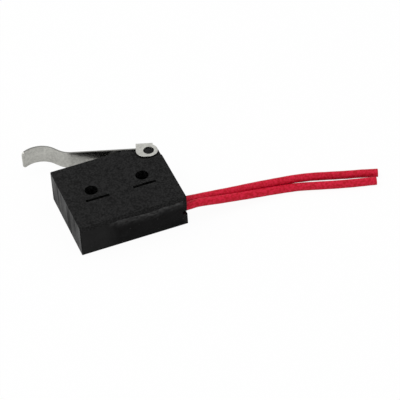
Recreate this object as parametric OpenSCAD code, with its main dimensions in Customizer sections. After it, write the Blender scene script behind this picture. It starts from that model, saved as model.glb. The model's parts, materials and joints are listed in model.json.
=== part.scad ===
// Subminiature snap-action switch with a curled hinge lever and two potted leads.
// The switch lies on its back face. X runs along the case towards the leads, Y towards the
// lever, Z from the back face to the front face. The origin is midway between the two
// mounting holes, on the back face. All sizes are in millimetres and degrees.

/* [Case] */
// Length of the case, end to end
case_length = 19.8; // [19.4:0.1:20.4]
// Height of the case, from the base edge to the flat of the top
case_height = 15.9; // [15.6:0.1:16.6]
// Thickness of the case, from the back face to the front face
case_thickness = 6.4; // [6.2:0.1:7.4]
// Thickness of the front and back walls
face_wall = 1.1; // [0.9:0.05:1.2]
// Thickness of the two end walls
end_wall = 0.9; // [0.7:0.05:1]
// Thickness of the top wall
top_wall = 1.2; // [1.1:0.05:1.3]
// Length of the flat top, from the left end to where it slopes down
flat_top = 13.7; // [13.4:0.1:14.2]
// How far the sloping top has dropped at the right end
end_drop = 1.4; // [1.2:0.05:1.5]
// Radius of the top left corner
top_corner_r = 0.25; // [0.15:0.05:0.9]
// Radius of the other corners of the outline
corner_r = 0.1; // [0.1:0.05:0.5]
// Chamfer round the front and back faces
edge_chamfer = 0.06; // [0.04:0.02:0.2]

/* [Mounting holes] */
// Distance between the two holes
hole_spacing = 9.5; // [9.3:0.1:9.7]
// Diameter of the holes
hole_d = 2.35; // [2.1:0.05:2.5]
// Distance of the hole centres below the flat top
hole_drop = 7.45; // [7.4:0.05:7.6]
// Wall round each hole, inside the case
pillar_wall = 0.8; // [0.6:0.05:0.9]
// Length of the slit under each hole
slit_length = 4.3; // [3.8:0.1:4.6]
// Width of the slit
slit_width = 0.54; // [0.3:0.02:0.6]
// Depth of the slit in each face
slit_depth = 0.8; // [0.5:0.05:0.85]
// Distance from the hole centres down to the slits
slit_drop = 2.35; // [2.2:0.05:2.5]
// How far each slit is moved towards the middle of the case
slit_shift = 0.38; // [0:0.02:0.5]

/* [Lever] */
// Distance of the lever pivot from the right end of the case
pivot_inset = 1.75; // [1.7:0.05:1.9]
// Distance of the lever pivot below the flat top
pivot_drop = 1.7; // [1.65:0.05:1.8]
// Free angle between the lever and the flat top
lever_angle = 19.5; // [18.5:0.5:21]
// Angle through which the lever can be pressed
lever_travel = 15; // [12:0.5:15]
// Thickness of the sheet
lever_sheet = 0.3; // [0.25:0.01:0.35]
// Width of the blade
blade_width = 3.6; // [3:0.1:4]
// Distance of the blade's underside from the pivot
blade_lift = 1.95; // [1.9:0.05:2.2]
// Distance from the pivot to where the blade starts to bend
bend_start = 14; // [13:0.1:15]
// Inner bend radius under the curl, at the middle of the sheet
bend_r = 4; // [3:0.1:5]
// Angle of the rise to the curl
rise_angle = 36; // [30:1:42]
// Straight run between the bend and the curl
rise_run = 1.1; // [0.6:0.1:1.5]
// Radius of the curl at the tip, at the middle of the sheet
curl_r = 4; // [3.4:0.1:4.4]
// Angle by which the tip points down past the crest
curl_drop = 55; // [40:1:65]
// Radius of the two corners at the tip
tip_corner_r = 0.6; // [0.2:0.05:0.8]
// Radius of the round ear
ear_r = 1.65; // [1.55:0.05:1.7]
// Length of the straight part of the ear's lower edge
ear_straight = 0.65; // [0.5:0.05:0.8]
// Distance that the strap over the case reaches behind the pivot
strap_back = 0.75; // [0.5:0.05:0.9]
// Radius of the pivot boss on each face
pivot_r = 0.8; // [0.7:0.05:0.85]
// Depth of a pivot boss's end below the outer face of its ear
boss_recess = 0.15; // [0.05:0.01:0.2]
// Outer radius of the folds between the strap and the ears
fold_r = 0.5; // [0.35:0.05:0.6]

/* [Plunger] */
// Distance of the plunger from the lever pivot
plunger_reach = 5.55; // [5.4:0.05:5.8]
// Radius of the stem and of its round head
stem_r = 1.1; // [0.95:0.05:1.15]
// Radius of the flange that stops the plunger under the top wall
flange_r = 1.25; // [1.2:0.02:1.3]
// Thickness of the flange
flange_thickness = 0.3; // [0.25:0.02:0.34]
// Radius of the round tip that presses the actuating arm
tip_r = 0.6; // [0.5:0.05:0.7]
// Outer radius of the rubber seal round the stem
seal_r = 1.75; // [1.6:0.05:1.9]
// Height of the rubber seal
seal_height = 0.6; // [0.5:0.05:0.7]

/* [Snap mechanism] */
// Thickness of the two spring arms
arm_sheet = 0.25; // [0.2:0.01:0.28]
// Width of the two spring arms
arm_width = 3; // [2.8:0.1:3.4]
// Width of the window that the toggle spring works in
window_width = 1.7; // [1.5:0.1:1.8]
// Distance of the actuating arm's pivot below the flat top
actuator_drop = 2.9; // [2.88:0.01:2.92]
// Distance of the contact arm's pivot below the flat top
contact_drop = 4; // [3.95:0.05:4.05]
// Free angle of the actuating arm
actuator_angle = 8.5; // [8.4:0.05:8.6]
// Distance of the spring tab from the pivots
tab_reach = 3.6; // [3.5:0.1:3.8]
// Depth of the spring hook under the actuating arm
hook_depth = 1.1; // [1.05:0.05:1.15]
// Distance of the contacts from the left mounting hole
contact_offset = 1.85; // [1.75:0.05:1.95]
// Distance from the contacts to the spring hook on the contact arm
anchor_gap = 1.55; // [1.45:0.05:1.7]
// Angle that the contact arm snaps through
snap_angle = 2.2; // [2:0.1:2.3]
// Wire diameter of the toggle spring
spring_wire = 0.2; // [0.16:0.01:0.22]
// Mean radius of the spring's coils and end loops
coil_r = 0.5; // [0.46:0.01:0.52]
// Number of coils
coil_turns = 20; // [14:1:20]
// Length of the coiled part
coil_length = 5.3; // [5:0.1:5.5]
// Radius of the contact heads
contact_r = 0.6; // [0.5:0.05:0.65]
// Radius of the contacts' rivet shanks
rivet_r = 0.45; // [0.35:0.01:0.48]
// Thickness of the contact heads
contact_thickness = 0.3; // [0.25:0.01:0.32]
// Thickness of the metal stop above the moving contact
stop_sheet = 0.3; // [0.25:0.05:0.5]

/* [Terminals and leads] */
// Distance from the hole centres down to the base block
block_drop = 3; // [2.6:0.1:3.2]
// Thickness of the terminals
terminal_sheet = 0.4; // [0.3:0.05:0.45]
// Width of the terminals
terminal_width = 2.4; // [2.2:0.1:2.6]
// Distance of the terminals' posts from the ends of the case, to the middle of the sheet
post_inset = 1.8; // [1.75:0.05:1.85]
// Distance of the solder tails from the middle of the case
tail_offset = 3; // [2.6:0.1:3.4]
// Diameter of the leads over the insulation
lead_d = 1.5; // [1.3:0.02:1.5]
// Diameter of the stripped conductor
core_d = 0.7; // [0.5:0.05:0.75]
// Radius of the solder joints
solder_r = 0.65; // [0.6:0.01:0.66]
// Depth of the potting's face inside the base edge
potting_recess = 0.05; // [0.02:0.01:0.08]

/* [Hidden] */
$fn = 48;

// Routes of the two leads, from the stripped end inside the potting to the cut end
com_route = [
    [5, -5.95, 3.2], [9.9, -5.95, 3.2], [12.5, -5.98, 2.96], [16, -6.04, 2.58], [19, -6.1, 2.23],
    [22, -6.2, 1.98], [25, -6.4, 1.78], [28, -6.67, 1.6], [31, -7.04, 1.47], [34, -7.56, 1.24],
    [37, -8.28, 0.96], [40, -9.12, 0.77], [42.5, -9.92, 0.77], [45.4, -10.97, 0.77]
];
no_route = [
    [-0.8, -7.47, 3.2], [4.5, -7.47, 3.2], [9.9, -7.47, 3.2], [12.5, -7.49, 3.18], [16, -7.56, 2.56],
    [19, -7.61, 2.07], [22, -7.69, 1.6], [25, -7.83, 1.24], [28, -8.06, 0.93], [31, -8.58, 0.79],
    [34, -9.58, 0.77], [37, -10.63, 0.77], [40, -11.58, 0.77], [42.5, -12.28, 0.77],
    [44.3, -12.78, 0.77]
];

// Clearances
running = 0.05;          // play of the stem, the flange and the tongues
ear_run = 0.13;          // radial play of the ears on the pivot bosses
ear_play = 0.05;         // play of each ear in the depth of its pocket
pocket_clear = 0.4;      // room round the swept outline of an ear
lever_gap = 0.06;        // gap between the blade and the plunger at rest
tip_gap = 0.04;          // gap between the plunger and the actuating arm
stop_gap = 0.03;         // gap between the moving contact and its stop at rest
closed_gap = 0.05;       // gap between the contacts with the lever pressed home
shoulder_gap = 0.08;     // gap between the arms' shoulders and the post
fit = 0.02;              // clearance of pieces that are pushed or cast into place
block_fit = 0.05;        // clearance of the base block in the case
slot_clear = 0.08;       // room round the leads in the slot that they leave by
cut = 1;                 // overrun of cutting shapes past a face

// Case outline
left = -case_length / 2;
right = case_length / 2;
base_y = hole_drop - case_height;
top_y = hole_drop;
end_y = top_y - end_drop;
mid_z = case_thickness / 2;
slope_x = left + flat_top;
inner_left = left + end_wall;
inner_right = right - end_wall;
inner_top = top_y - top_wall;
inner_end_y = inner_top - end_drop * (inner_right - slope_x) / (right - slope_x);
inner_depth = case_thickness - 2 * face_wall;

// Holes and slits
hole_x = hole_spacing / 2;
slit_x = hole_x - slit_shift;
pillar_r = hole_d / 2 + pillar_wall;

// Lever
pivot_x = right - pivot_inset;
pivot_y = top_y - pivot_drop;
ear_front = ear_r + ear_straight;
ear_hole_r = pivot_r + ear_run;
strap_top = blade_lift + lever_sheet;
blade_mid = blade_lift + lever_sheet / 2;
pocket_depth = lever_sheet + 2 * ear_play;
boss_root = 0.25;                // depth of a pivot boss in the floor of its pocket
boss_height = pocket_depth - ear_play - boss_recess + boss_root;
blade_root = 0.5;                // length of the blade inside the strap
bend_steps = 8;
curl_steps = 20;

// Plunger: the head's centre follows the underside of the blade
plunger_x = pivot_x - plunger_reach;
head_y = pivot_y + (blade_lift - stem_r - lever_gap) / cos(lever_angle) + plunger_reach * tan(lever_angle);
flange_top = inner_top - running;
bore_r = stem_r + running;

// Snap mechanism
post_x = right - post_inset;
fulcrum_x = post_x - terminal_sheet / 2;
actuator_y = top_y - actuator_drop;
contact_y = top_y - contact_drop;
tip_y = actuator_y + (fulcrum_x - plunger_x) * tan(actuator_angle)
    + (arm_sheet / 2 + tip_r + tip_gap) / cos(actuator_angle);
actuator_end = fulcrum_x - plunger_x + tip_r;
tongue_width = 1;
tongue_past = 0.2;               // length of a tongue that shows behind the post
tongue_root = 0.5;               // length of a tongue inside its arm
tongue_back = terminal_sheet + tongue_past;
actuator_slot = 0.6;
contact_slot = 0.42;
tab_width = 0.8;
anchor_bar = 0.5;                // metal of the contact arm that the spring's loop goes round
hook_bar = 0.36;                 // metal of the tab that the spring's other loop goes round
loop_hole = 0.5;                 // length of the holes that the end loops pass through
window_past = 1.2;               // length of the window behind the tab
arm_margin = 0.2;                // metal of the contact arm past its rivet
shelf_margin = 0.1;              // metal of the terminal's shelf past its rivet
coil_shift = 1;                  // distance of the coils from the middle of the spring
coil_steps = 10;                 // points in each coil
wire_sides = 6;
loop_first = -60;                // angle at which an end loop starts
loop_turn = 330;                 // angle that an end loop turns through
loop_step = 30;
contact_x = -hole_x - contact_offset;
anchor_x = contact_x + anchor_gap;
contact_reach = fulcrum_x - contact_x;
anchor_reach = fulcrum_x - anchor_x;
arm_end = contact_reach + contact_r + arm_margin;
hook_rest = [
    fulcrum_x - tab_reach * cos(actuator_angle) - hook_depth * sin(actuator_angle),
    actuator_y + tab_reach * sin(actuator_angle) - hook_depth * cos(actuator_angle)
];
hook_home = [
    fulcrum_x - tab_reach * cos(actuator_angle) + hook_depth * sin(actuator_angle),
    actuator_y - tab_reach * sin(actuator_angle) - hook_depth * cos(actuator_angle)
];
anchor_rest = [anchor_x, contact_y];
anchor_home = [fulcrum_x - anchor_reach * cos(snap_angle), contact_y - anchor_reach * sin(snap_angle)];
spring_length = (norm(hook_rest - anchor_rest) + norm(hook_home - anchor_home)) / 2;
spring_angle = atan2(hook_rest[1] - anchor_rest[1], hook_rest[0] - anchor_rest[0]);
coil_pitch = coil_length / coil_turns;
coil_start = (spring_length - coil_length) / 2 - coil_shift;
back_head = 0.2;                 // thickness of the moving contact's upper head
moving_low = contact_y - arm_sheet / 2 - contact_thickness;
moving_high = contact_y + arm_sheet / 2 + back_head;
fixed_top = moving_low - contact_reach * sin(snap_angle) - closed_gap;
shelf_top = fixed_top - contact_thickness;
shelf_y = shelf_top - terminal_sheet / 2;
stop_low = moving_high + stop_gap;

// Terminals, base block and potting
com_y = com_route[0][1];
no_y = no_route[0][1];
lead_r = lead_d / 2;
core_r = core_d / 2;
slot_r = lead_r + slot_clear;
lead_cover = 0.38;               // resin between the upper lead and the base block
resin_reach = 0.15;              // how far the resin under the lower lead reaches past its middle
lead_sides = 8;
block_top = -block_drop;
block_low = com_y + lead_r + lead_cover;
jog_y = (block_top + block_low) / 2;
tail_cover = 0.18;               // metal below the solder hole of a tail
core_out = 0.3;                  // length of conductor that shows past a tail
potting_face = base_y + potting_recess;
post_cover = 0.25;                // metal of the post above the upper slot
post_top = actuator_y + actuator_slot / 2 + post_cover;

// Path of the lever's blade: x runs back from the tip towards the pivot, y away from the case
bend_end = [bend_start + bend_r * sin(rise_angle), blade_mid + bend_r * (1 - cos(rise_angle))];
curl_start = bend_end + rise_run * [cos(rise_angle), sin(rise_angle)];
curl_centre = curl_start + curl_r * [sin(rise_angle), -cos(rise_angle)];
blade_path = concat(
    [[ear_front - blade_root, blade_mid]],
    arc([bend_start, blade_mid + bend_r], bend_r, -90, rise_angle - 90, bend_steps),
    arc(curl_centre, curl_r, 90 + rise_angle, 90 - curl_drop, curl_steps)
);
com_path = [
    [post_x, post_top], [post_x, jog_y], [tail_offset, jog_y],
    [tail_offset, com_y - core_r - fit - tail_cover]
];
no_path = [
    [contact_x + contact_r + shelf_margin, shelf_y], [-post_x, shelf_y], [-post_x, jog_y],
    [-tail_offset, jog_y], [-tail_offset, no_y - core_r - fit - tail_cover]
];

function unit(v) = v / norm(v);

// Points along an arc from one angle to another
function arc(centre, r, from, to, steps) = [
    for (i = [0:steps])
        let (angle = from + (to - from) * i / steps)
        centre + r * [cos(angle), sin(angle)]
];

// Turn from angle a to angle b the short way
function short_turn(a, b) = b - a > 180 ? b - a - 360 : b - a < -180 ? b - a + 360 : b - a;

// Points that round the corner q between p and s
function corner_points(p, q, s, r, steps) =
    r == 0 ? [q] :
    let (u = unit(p - q), v = unit(s - q), half = acos(u * v) / 2,
        centre = q + unit(u + v) * r / sin(half), first = q + u * r / tan(half) - centre,
        last = q + v * r / tan(half) - centre, from = atan2(first[1], first[0]),
        turn = short_turn(from, atan2(last[1], last[0])))
    arc(centre, r, from, from + turn, steps);

// Outline through corners given as [x, y, radius]
function rounded(corners, steps = 6) = [
    for (i = [0:len(corners) - 1])
        let (n = len(corners), p = corners[(i + n - 1) % n], q = corners[i], s = corners[(i + 1) % n])
        each corner_points([p[0], p[1]], [q[0], q[1]], [s[0], s[1]], q[2], steps)
];

// Unit normal to the left of a path at point i, lengthened at bends so that the strip keeps its width
function mitre(path, i) =
    let (a = i > 0 ? unit(path[i] - path[i - 1]) : unit(path[1] - path[0]),
        b = i < len(path) - 1 ? unit(path[i + 1] - path[i]) : a, t = unit(a + b))
    [-t[1], t[0]] / (t * a);

// Outline of a strip of even thickness along a path
function strip(path, thickness) = concat(
    [for (i = [0:len(path) - 1]) path[i] + mitre(path, i) * thickness / 2],
    [for (i = [len(path) - 1:-1:0]) path[i] - mitre(path, i) * thickness / 2]
);

function tangents(path) = [
    for (i = [0:len(path) - 1]) unit(path[min(i + 1, len(path) - 1)] - path[max(i - 1, 0)])
];

// Normal carried along from ring to ring without twist
function carried(normal, tangent) = unit(normal - (normal * tangent) * tangent);

function normals(t, first) = [
    for (i = 0, n = carried(first, t[0]); i < len(t); i = i + 1, n = i < len(t) ? carried(n, t[i]) : n) n
];

// Round bar swept along a path in space
module tube(path, r, sides, first) {
    t = tangents(path);
    n = normals(t, first);
    last = len(path) - 1;
    rings = [
        for (i = [0:last], k = [0:sides - 1])
            path[i] + r * (cos(360 * k / sides) * n[i] + sin(360 * k / sides) * cross(t[i], n[i]))
    ];
    walls = [
        for (i = [0:last - 1], k = [0:sides - 1])
            let (a = i * sides + k, b = i * sides + (k + 1) % sides)
            each [[a, a + sides, b + sides], [a, b + sides, b]]
    ];
    polyhedron(rings, concat(
        [[for (k = [0:sides - 1]) k]], walls, [[for (k = [sides - 1:-1:0]) last * sides + k]]
    ));
}

// Cylinder along Y from y0 to y1
module upright(x, y0, y1, r) {
    translate([x, y0, mid_z])
        rotate([-90, 0, 0])
        cylinder(h = y1 - y0, r = r);
}

// Cylinder along X from x0 to x1
module lengthwise(x0, x1, y, r) {
    translate([x0, y, mid_z])
        rotate([0, 90, 0])
        cylinder(h = x1 - x0, r = r);
}

// Block between two corners in X and Y, centred in the thickness
module block(low, high, depth) {
    translate([low[0], low[1], mid_z - depth / 2])
        cube([high[0] - low[0], high[1] - low[1], depth]);
}

// Plate of a given outline, centred in the thickness
module plate(outline, depth) {
    translate([0, 0, mid_z - depth / 2])
        linear_extrude(depth)
        polygon(outline);
}

module case_outline() {
    polygon(rounded([
        [left, base_y, corner_r], [right, base_y, corner_r], [right, end_y, corner_r],
        [slope_x, top_y, 0], [left, top_y, top_corner_r]
    ]));
}

// Moulded body with chamfered face edges
module case_body() {
    hull() {
        translate([0, 0, edge_chamfer])
            linear_extrude(case_thickness - 2 * edge_chamfer)
            case_outline();
        linear_extrude(case_thickness)
            offset(delta = -edge_chamfer)
            case_outline();
    }
}

// Space inside the case, open at the base, with a tube round each hole and a rib above the stop
module cavity() {
    difference() {
        plate([
            [inner_left, base_y - cut], [inner_right, base_y - cut], [inner_right, inner_end_y],
            [slope_x, inner_top], [inner_left, inner_top]
        ], inner_depth);
        for (side = [-1, 1])
            translate([side * hole_x, 0, 0])
                cylinder(h = case_thickness, r = pillar_r);
        block(
            [contact_x - contact_r, stop_low + stop_sheet], [contact_x + contact_r, top_y],
            case_thickness
        );
    }
}

// Mounting hole, with a slit in each face
module hole_and_slits(side) {
    translate([side * hole_x, 0, -cut])
        cylinder(h = case_thickness + 2 * cut, r = hole_d / 2);
    for (z = [-cut, case_thickness - slit_depth])
        translate([side * slit_x - slit_length / 2, -slit_drop - slit_width / 2, z])
            cube([slit_length, slit_width, slit_depth + cut]);
}

// Pocket that an ear swings in, open at the top and at the end of the case
module ear_pocket() {
    linear_extrude(pocket_depth + cut)
        hull()
        for (angle = [0, lever_travel], up = [0, top_y], along = [0, ear_straight], out = [0, pivot_inset])
            translate([
                pivot_x - along * cos(lever_angle - angle) + out,
                pivot_y + along * sin(lever_angle - angle) + up
            ])
            circle(r = ear_r + pocket_clear);
}

// Slot in the right wall that the leads leave by, open at the base
module lead_slot(depth, low, x0, x1) {
    lengthwise(x0, x1, com_y, depth / 2);
    block([x0, low], [x1, com_y], depth);
}

module case() {
    color([0.14, 0.14, 0.14])
    union() {
        difference() {
            case_body();
            cavity();
            for (side = [-1, 1])
                hole_and_slits(side);
            translate([0, 0, -cut])
                ear_pocket();
            translate([0, 0, case_thickness - pocket_depth])
                ear_pocket();
            upright(plunger_x, inner_top - cut, top_y + cut, bore_r);
            upright(plunger_x, inner_top - cut, inner_top + seal_height, seal_r);
            lead_slot(2 * slot_r, base_y - cut, inner_right - cut, right + cut);
        }
        for (z = [ear_play + boss_recess, case_thickness - pocket_depth - boss_root])
            translate([pivot_x, pivot_y, z])
                cylinder(h = boss_height, r = pivot_r);
    }
}

// Moulded block that carries the terminals and closes the cavity
module base_block() {
    color([0.2, 0.2, 0.21])
    difference() {
        block(
            [inner_left + block_fit, block_low], [inner_right - block_fit, block_top],
            inner_depth - 2 * block_fit
        );
        com_strip();
        no_strip();
    }
}

// Resin cast over the solder joints and the inner ends of the leads. In the slot it leaves a gap
// under the back half of the lower lead
module potting() {
    color([0.12, 0.12, 0.12])
    difference() {
        union() {
            block(
                [inner_left + fit, potting_face], [inner_right - fit, block_low],
                inner_depth - 2 * fit
            );
            lead_slot(2 * (slot_r - fit), no_y, inner_right - end_wall, right - edge_chamfer);
            translate([inner_right - end_wall, potting_face, mid_z - resin_reach])
                cube([
                    2 * end_wall - edge_chamfer, no_y - potting_face, slot_r - fit + resin_reach
                ]);
        }
        lengthwise(com_route[0][0], right + cut, com_y, lead_r + fit);
        lengthwise(no_route[0][0], right + cut, no_y, lead_r + fit);
        joint_space(tail_offset, com_y, com_route[0][0]);
        joint_space(-tail_offset, no_y, no_route[0][0]);
        com_strip();
        no_strip();
    }
}

// Space in the resin for a solder joint and its conductor
module joint_space(x, y, lead_x) {
    translate([x, y, mid_z])
        sphere(r = solder_r + fit);
    lengthwise(x - terminal_sheet / 2 - core_out, lead_x + cut, y, core_r + fit);
}

// Channel of sheet that the strap and both ears are cut from
module lever_channel() {
    low = ear_play;
    high = case_thickness - ear_play;
    inner_r = fold_r - lever_sheet;
    translate([ear_r, 0, 0])
        rotate([0, -90, 0])
        linear_extrude(ear_r + ear_front)
        polygon(rounded([
            [low, -ear_r, 0], [low, strap_top, fold_r], [high, strap_top, fold_r], [high, -ear_r, 0],
            [high - lever_sheet, -ear_r, 0], [high - lever_sheet, blade_lift, inner_r],
            [low + lever_sheet, blade_lift, inner_r], [low + lever_sheet, -ear_r, 0]
        ]));
}

// Side view of an ear and the strap above it
module ear_outline() {
    circle(r = ear_r);
    translate([-ear_straight, 0])
        circle(r = ear_r);
    translate([-ear_straight, -ear_r])
        square([ear_straight, ear_r]);
    translate([-ear_front, 0])
        square([ear_front + strap_back, strap_top]);
}

// What is cut off to round a corner: X runs out past the tip, Y in from the side of the blade
module corner_cut() {
    difference() {
        translate([-tip_corner_r, -cut])
            square(tip_corner_r + cut);
        translate([-tip_corner_r, tip_corner_r])
            circle(r = tip_corner_r);
    }
}

// Straight strip with a bend and a curl, and round corners at its tip
module blade() {
    tip = blade_path[len(blade_path) - 1];
    difference() {
        plate(strip(blade_path, lever_sheet), blade_width);
        for (side = [-1, 1])
            translate([tip[0], tip[1], mid_z + side * blade_width / 2])
                rotate([0, 0, -curl_drop])
                rotate([-90 * side, 0, 0])
                linear_extrude(2 * cut, center = true)
                corner_cut();
    }
}

// One folded sheet: two ears on the pivot bosses, a strap over the case and the curled blade
module lever() {
    color([0.72, 0.71, 0.69])
    translate([pivot_x, pivot_y, 0])
    rotate([0, 0, -lever_angle])
    difference() {
        union() {
            intersection() {
                lever_channel();
                linear_extrude(case_thickness)
                    ear_outline();
            }
            mirror([1, 0, 0])
                blade();
        }
        translate([0, 0, -cut])
            cylinder(h = case_thickness + 2 * cut, r = ear_hole_r);
    }
}

// Round-headed pin with a stop flange and a round lower tip
module plunger() {
    color([0.2, 0.2, 0.21])
    union() {
        upright(plunger_x, flange_top - flange_thickness / 2, head_y, stem_r);
        translate([plunger_x, head_y, mid_z])
            sphere(r = stem_r);
        upright(plunger_x, flange_top - flange_thickness, flange_top, flange_r);
        translate([plunger_x, tip_y, mid_z])
            sphere(r = tip_r);
    }
}

module plunger_seal() {
    color([0.1, 0.1, 0.1])
    difference() {
        upright(plunger_x, inner_top + fit, inner_top + seal_height, seal_r - fit);
        upright(plunger_x, inner_top - cut, top_y, stem_r + fit);
    }
}

// Flat of a spring arm from its shoulders to its end, with the tongue that passes the post
module arm_blank(reach) {
    plate([
        [tongue_back, -arm_sheet / 2], [tongue_back, arm_sheet / 2],
        [-shoulder_gap - tongue_root, arm_sheet / 2], [-shoulder_gap - tongue_root, -arm_sheet / 2]
    ], tongue_width);
    block([-reach, -arm_sheet / 2], [-shoulder_gap, arm_sheet / 2], arm_width);
}

// Upper arm: the plunger presses it, and its lanced tab pulls the toggle spring
module actuating_arm() {
    tab_low = -hook_depth - hook_bar / 2;
    hole_low = -hook_depth + hook_bar / 2;
    color([0.8, 0.62, 0.36])
    translate([fulcrum_x, actuator_y, 0])
    rotate([0, 0, -actuator_angle])
    difference() {
        union() {
            difference() {
                arm_blank(actuator_end);
                block(
                    [-tab_reach + arm_sheet / 2, -cut], [-tab_reach + hook_depth + hook_bar / 2, cut],
                    tab_width
                );
            }
            block(
                [-tab_reach - arm_sheet / 2, tab_low], [-tab_reach + arm_sheet / 2, arm_sheet / 2],
                tab_width
            );
        }
        block([-tab_reach - cut, hole_low], [-tab_reach + cut, hole_low + loop_hole], tab_width / 2);
    }
}

// Lower arm: carries the moving contact and snaps when the spring crosses its line
module contact_arm() {
    window_end = anchor_reach - anchor_bar / 2;
    color([0.8, 0.62, 0.36])
    translate([fulcrum_x, contact_y, 0])
    difference() {
        arm_blank(arm_end);
        block([-window_end, -cut], [-tab_reach + window_past, cut], window_width);
        block([-window_end - anchor_bar - loop_hole, -cut], [-window_end - anchor_bar, cut], tab_width / 2);
        upright(-contact_reach, -cut, cut, rivet_r + fit);
    }
}

// Rivet with a contact head below the arm and a smaller head above it
module moving_contact() {
    color([0.85, 0.85, 0.83])
    union() {
        upright(contact_x, moving_low, moving_low + contact_thickness, contact_r);
        upright(contact_x, moving_low, moving_high, rivet_r);
        upright(contact_x, moving_high - back_head, moving_high, contact_r);
    }
}

// Tension spring with an open loop at each end, hooked over the two arms
module toggle_spring() {
    coil = [
        for (i = [0:coil_turns * coil_steps])
            let (turn = 180 + 360 * i / coil_steps)
            [coil_start + coil_pitch * i / coil_steps, coil_r * cos(turn), coil_r * sin(turn)]
    ];
    turned = [for (a = [0:loop_step:loop_turn]) a];
    near_loop = [for (a = turned) coil_r * [cos(loop_first + a), sin(loop_first + a), 0]];
    far_loop = [
        for (a = turned)
            let (angle = loop_first + loop_turn + a)
            [spring_length, 0, 0] + coil_r * [cos(angle), sin(angle), 0]
    ];
    color([0.7, 0.7, 0.7])
    translate([anchor_x, contact_y, mid_z])
    rotate([0, 0, spring_angle])
    tube(concat(near_loop, coil, far_loop), spring_wire / 2, wire_sides, [0, 0, 1]);
}

// Metal stop that the moving contact rests against, held between the end wall and a rib
module nc_stop() {
    leg_x = inner_left + fit + stop_sheet / 2;
    color([0.78, 0.66, 0.4])
    plate(strip([
        [contact_x + contact_r, stop_low + stop_sheet / 2], [leg_x, stop_low + stop_sheet / 2],
        [leg_x, inner_top - fit]
    ], stop_sheet), terminal_width);
}

// Terminal strip with the solder hole in its tail
module terminal_strip(path, y) {
    difference() {
        plate(strip(path, terminal_sheet), terminal_width);
        lengthwise(path[len(path) - 1][0] - cut, path[len(path) - 1][0] + cut, y, core_r + fit);
    }
}

module com_strip() {
    terminal_strip(com_path, com_y);
}

module no_strip() {
    terminal_strip(no_path, no_y);
}

// Common terminal: its post carries both arms in slots
module com_terminal() {
    color([0.78, 0.66, 0.4])
    difference() {
        com_strip();
        block(
            [post_x - cut, actuator_y - actuator_slot / 2], [post_x + cut, actuator_y + actuator_slot / 2],
            tongue_width + 2 * running
        );
        block(
            [post_x - cut, contact_y - contact_slot / 2], [post_x + cut, contact_y + contact_slot / 2],
            tongue_width + 2 * running
        );
    }
}

// Terminal of the contact that closes when the lever is pressed
module no_terminal() {
    color([0.78, 0.66, 0.4])
    difference() {
        no_strip();
        upright(contact_x, shelf_top - terminal_sheet - cut, shelf_top + cut, rivet_r + fit);
    }
}

module no_contact() {
    color([0.85, 0.85, 0.83])
    union() {
        upright(contact_x, shelf_top, fixed_top, contact_r);
        upright(contact_x, shelf_top - terminal_sheet, fixed_top, rivet_r);
    }
}

// Ball of solder round a tail and the conductor through it
module solder(x, y, path) {
    difference() {
        translate([x, y, mid_z])
            sphere(r = solder_r);
        plate(strip(path, terminal_sheet), terminal_width);
        lengthwise(x - cut, x + cut, y, core_r);
    }
}

module com_solder() {
    color([0.75, 0.76, 0.77])
    solder(tail_offset, com_y, com_path);
}

module no_solder() {
    color([0.75, 0.76, 0.77])
    solder(-tail_offset, no_y, no_path);
}

module com_core() {
    color([0.8, 0.5, 0.3])
    lengthwise(tail_offset - terminal_sheet / 2 - core_out, com_route[0][0], com_y, core_r);
}

module no_core() {
    color([0.8, 0.5, 0.3])
    lengthwise(-tail_offset - terminal_sheet / 2 - core_out, no_route[0][0], no_y, core_r);
}

module com_lead() {
    color([0.76, 0.1, 0.2])
    tube(com_route, lead_r, lead_sides, [0, 0, 1]);
}

module no_lead() {
    color([0.76, 0.1, 0.2])
    tube(no_route, lead_r, lead_sides, [0, 0, 1]);
}

case();
base_block();
potting();
lever();
plunger();
plunger_seal();
actuating_arm();
contact_arm();
moving_contact();
toggle_spring();
nc_stop();
com_terminal();
no_terminal();
no_contact();
com_solder();
no_solder();
com_core();
no_core();
com_lead();
no_lead();
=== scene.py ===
"""Dress a subminiature snap-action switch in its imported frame.

The switch lies on its back face. X runs along the case towards the leads, Y towards the lever and
Z from the back face to the front face. Pieces are modelled in millimetres and brought to metres
when they are finished. Angles are in degrees.
"""

import json
import logging
import math
from collections.abc import Callable, Iterator, Sequence
from contextlib import contextmanager
from dataclasses import dataclass, field
from enum import Enum
from typing import ClassVar

import bmesh
import bpy
from mathutils import Matrix, Vector


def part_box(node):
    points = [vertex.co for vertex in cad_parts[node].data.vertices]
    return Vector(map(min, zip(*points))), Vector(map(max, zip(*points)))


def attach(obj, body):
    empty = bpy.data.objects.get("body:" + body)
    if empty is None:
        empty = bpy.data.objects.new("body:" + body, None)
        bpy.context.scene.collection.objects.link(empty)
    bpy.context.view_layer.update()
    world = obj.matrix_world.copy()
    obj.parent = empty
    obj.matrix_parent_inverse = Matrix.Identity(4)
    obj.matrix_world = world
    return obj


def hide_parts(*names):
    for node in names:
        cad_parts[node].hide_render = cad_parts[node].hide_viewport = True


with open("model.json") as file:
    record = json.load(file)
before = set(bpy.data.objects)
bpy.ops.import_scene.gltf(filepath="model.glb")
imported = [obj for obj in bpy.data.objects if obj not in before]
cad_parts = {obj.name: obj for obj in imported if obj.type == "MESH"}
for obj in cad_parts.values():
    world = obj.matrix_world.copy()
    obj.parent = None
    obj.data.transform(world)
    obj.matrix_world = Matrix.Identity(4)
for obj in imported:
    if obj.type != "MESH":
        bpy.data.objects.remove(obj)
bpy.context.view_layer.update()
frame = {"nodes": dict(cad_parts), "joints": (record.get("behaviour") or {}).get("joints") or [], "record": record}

log = logging.getLogger("micro_switch")

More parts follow.
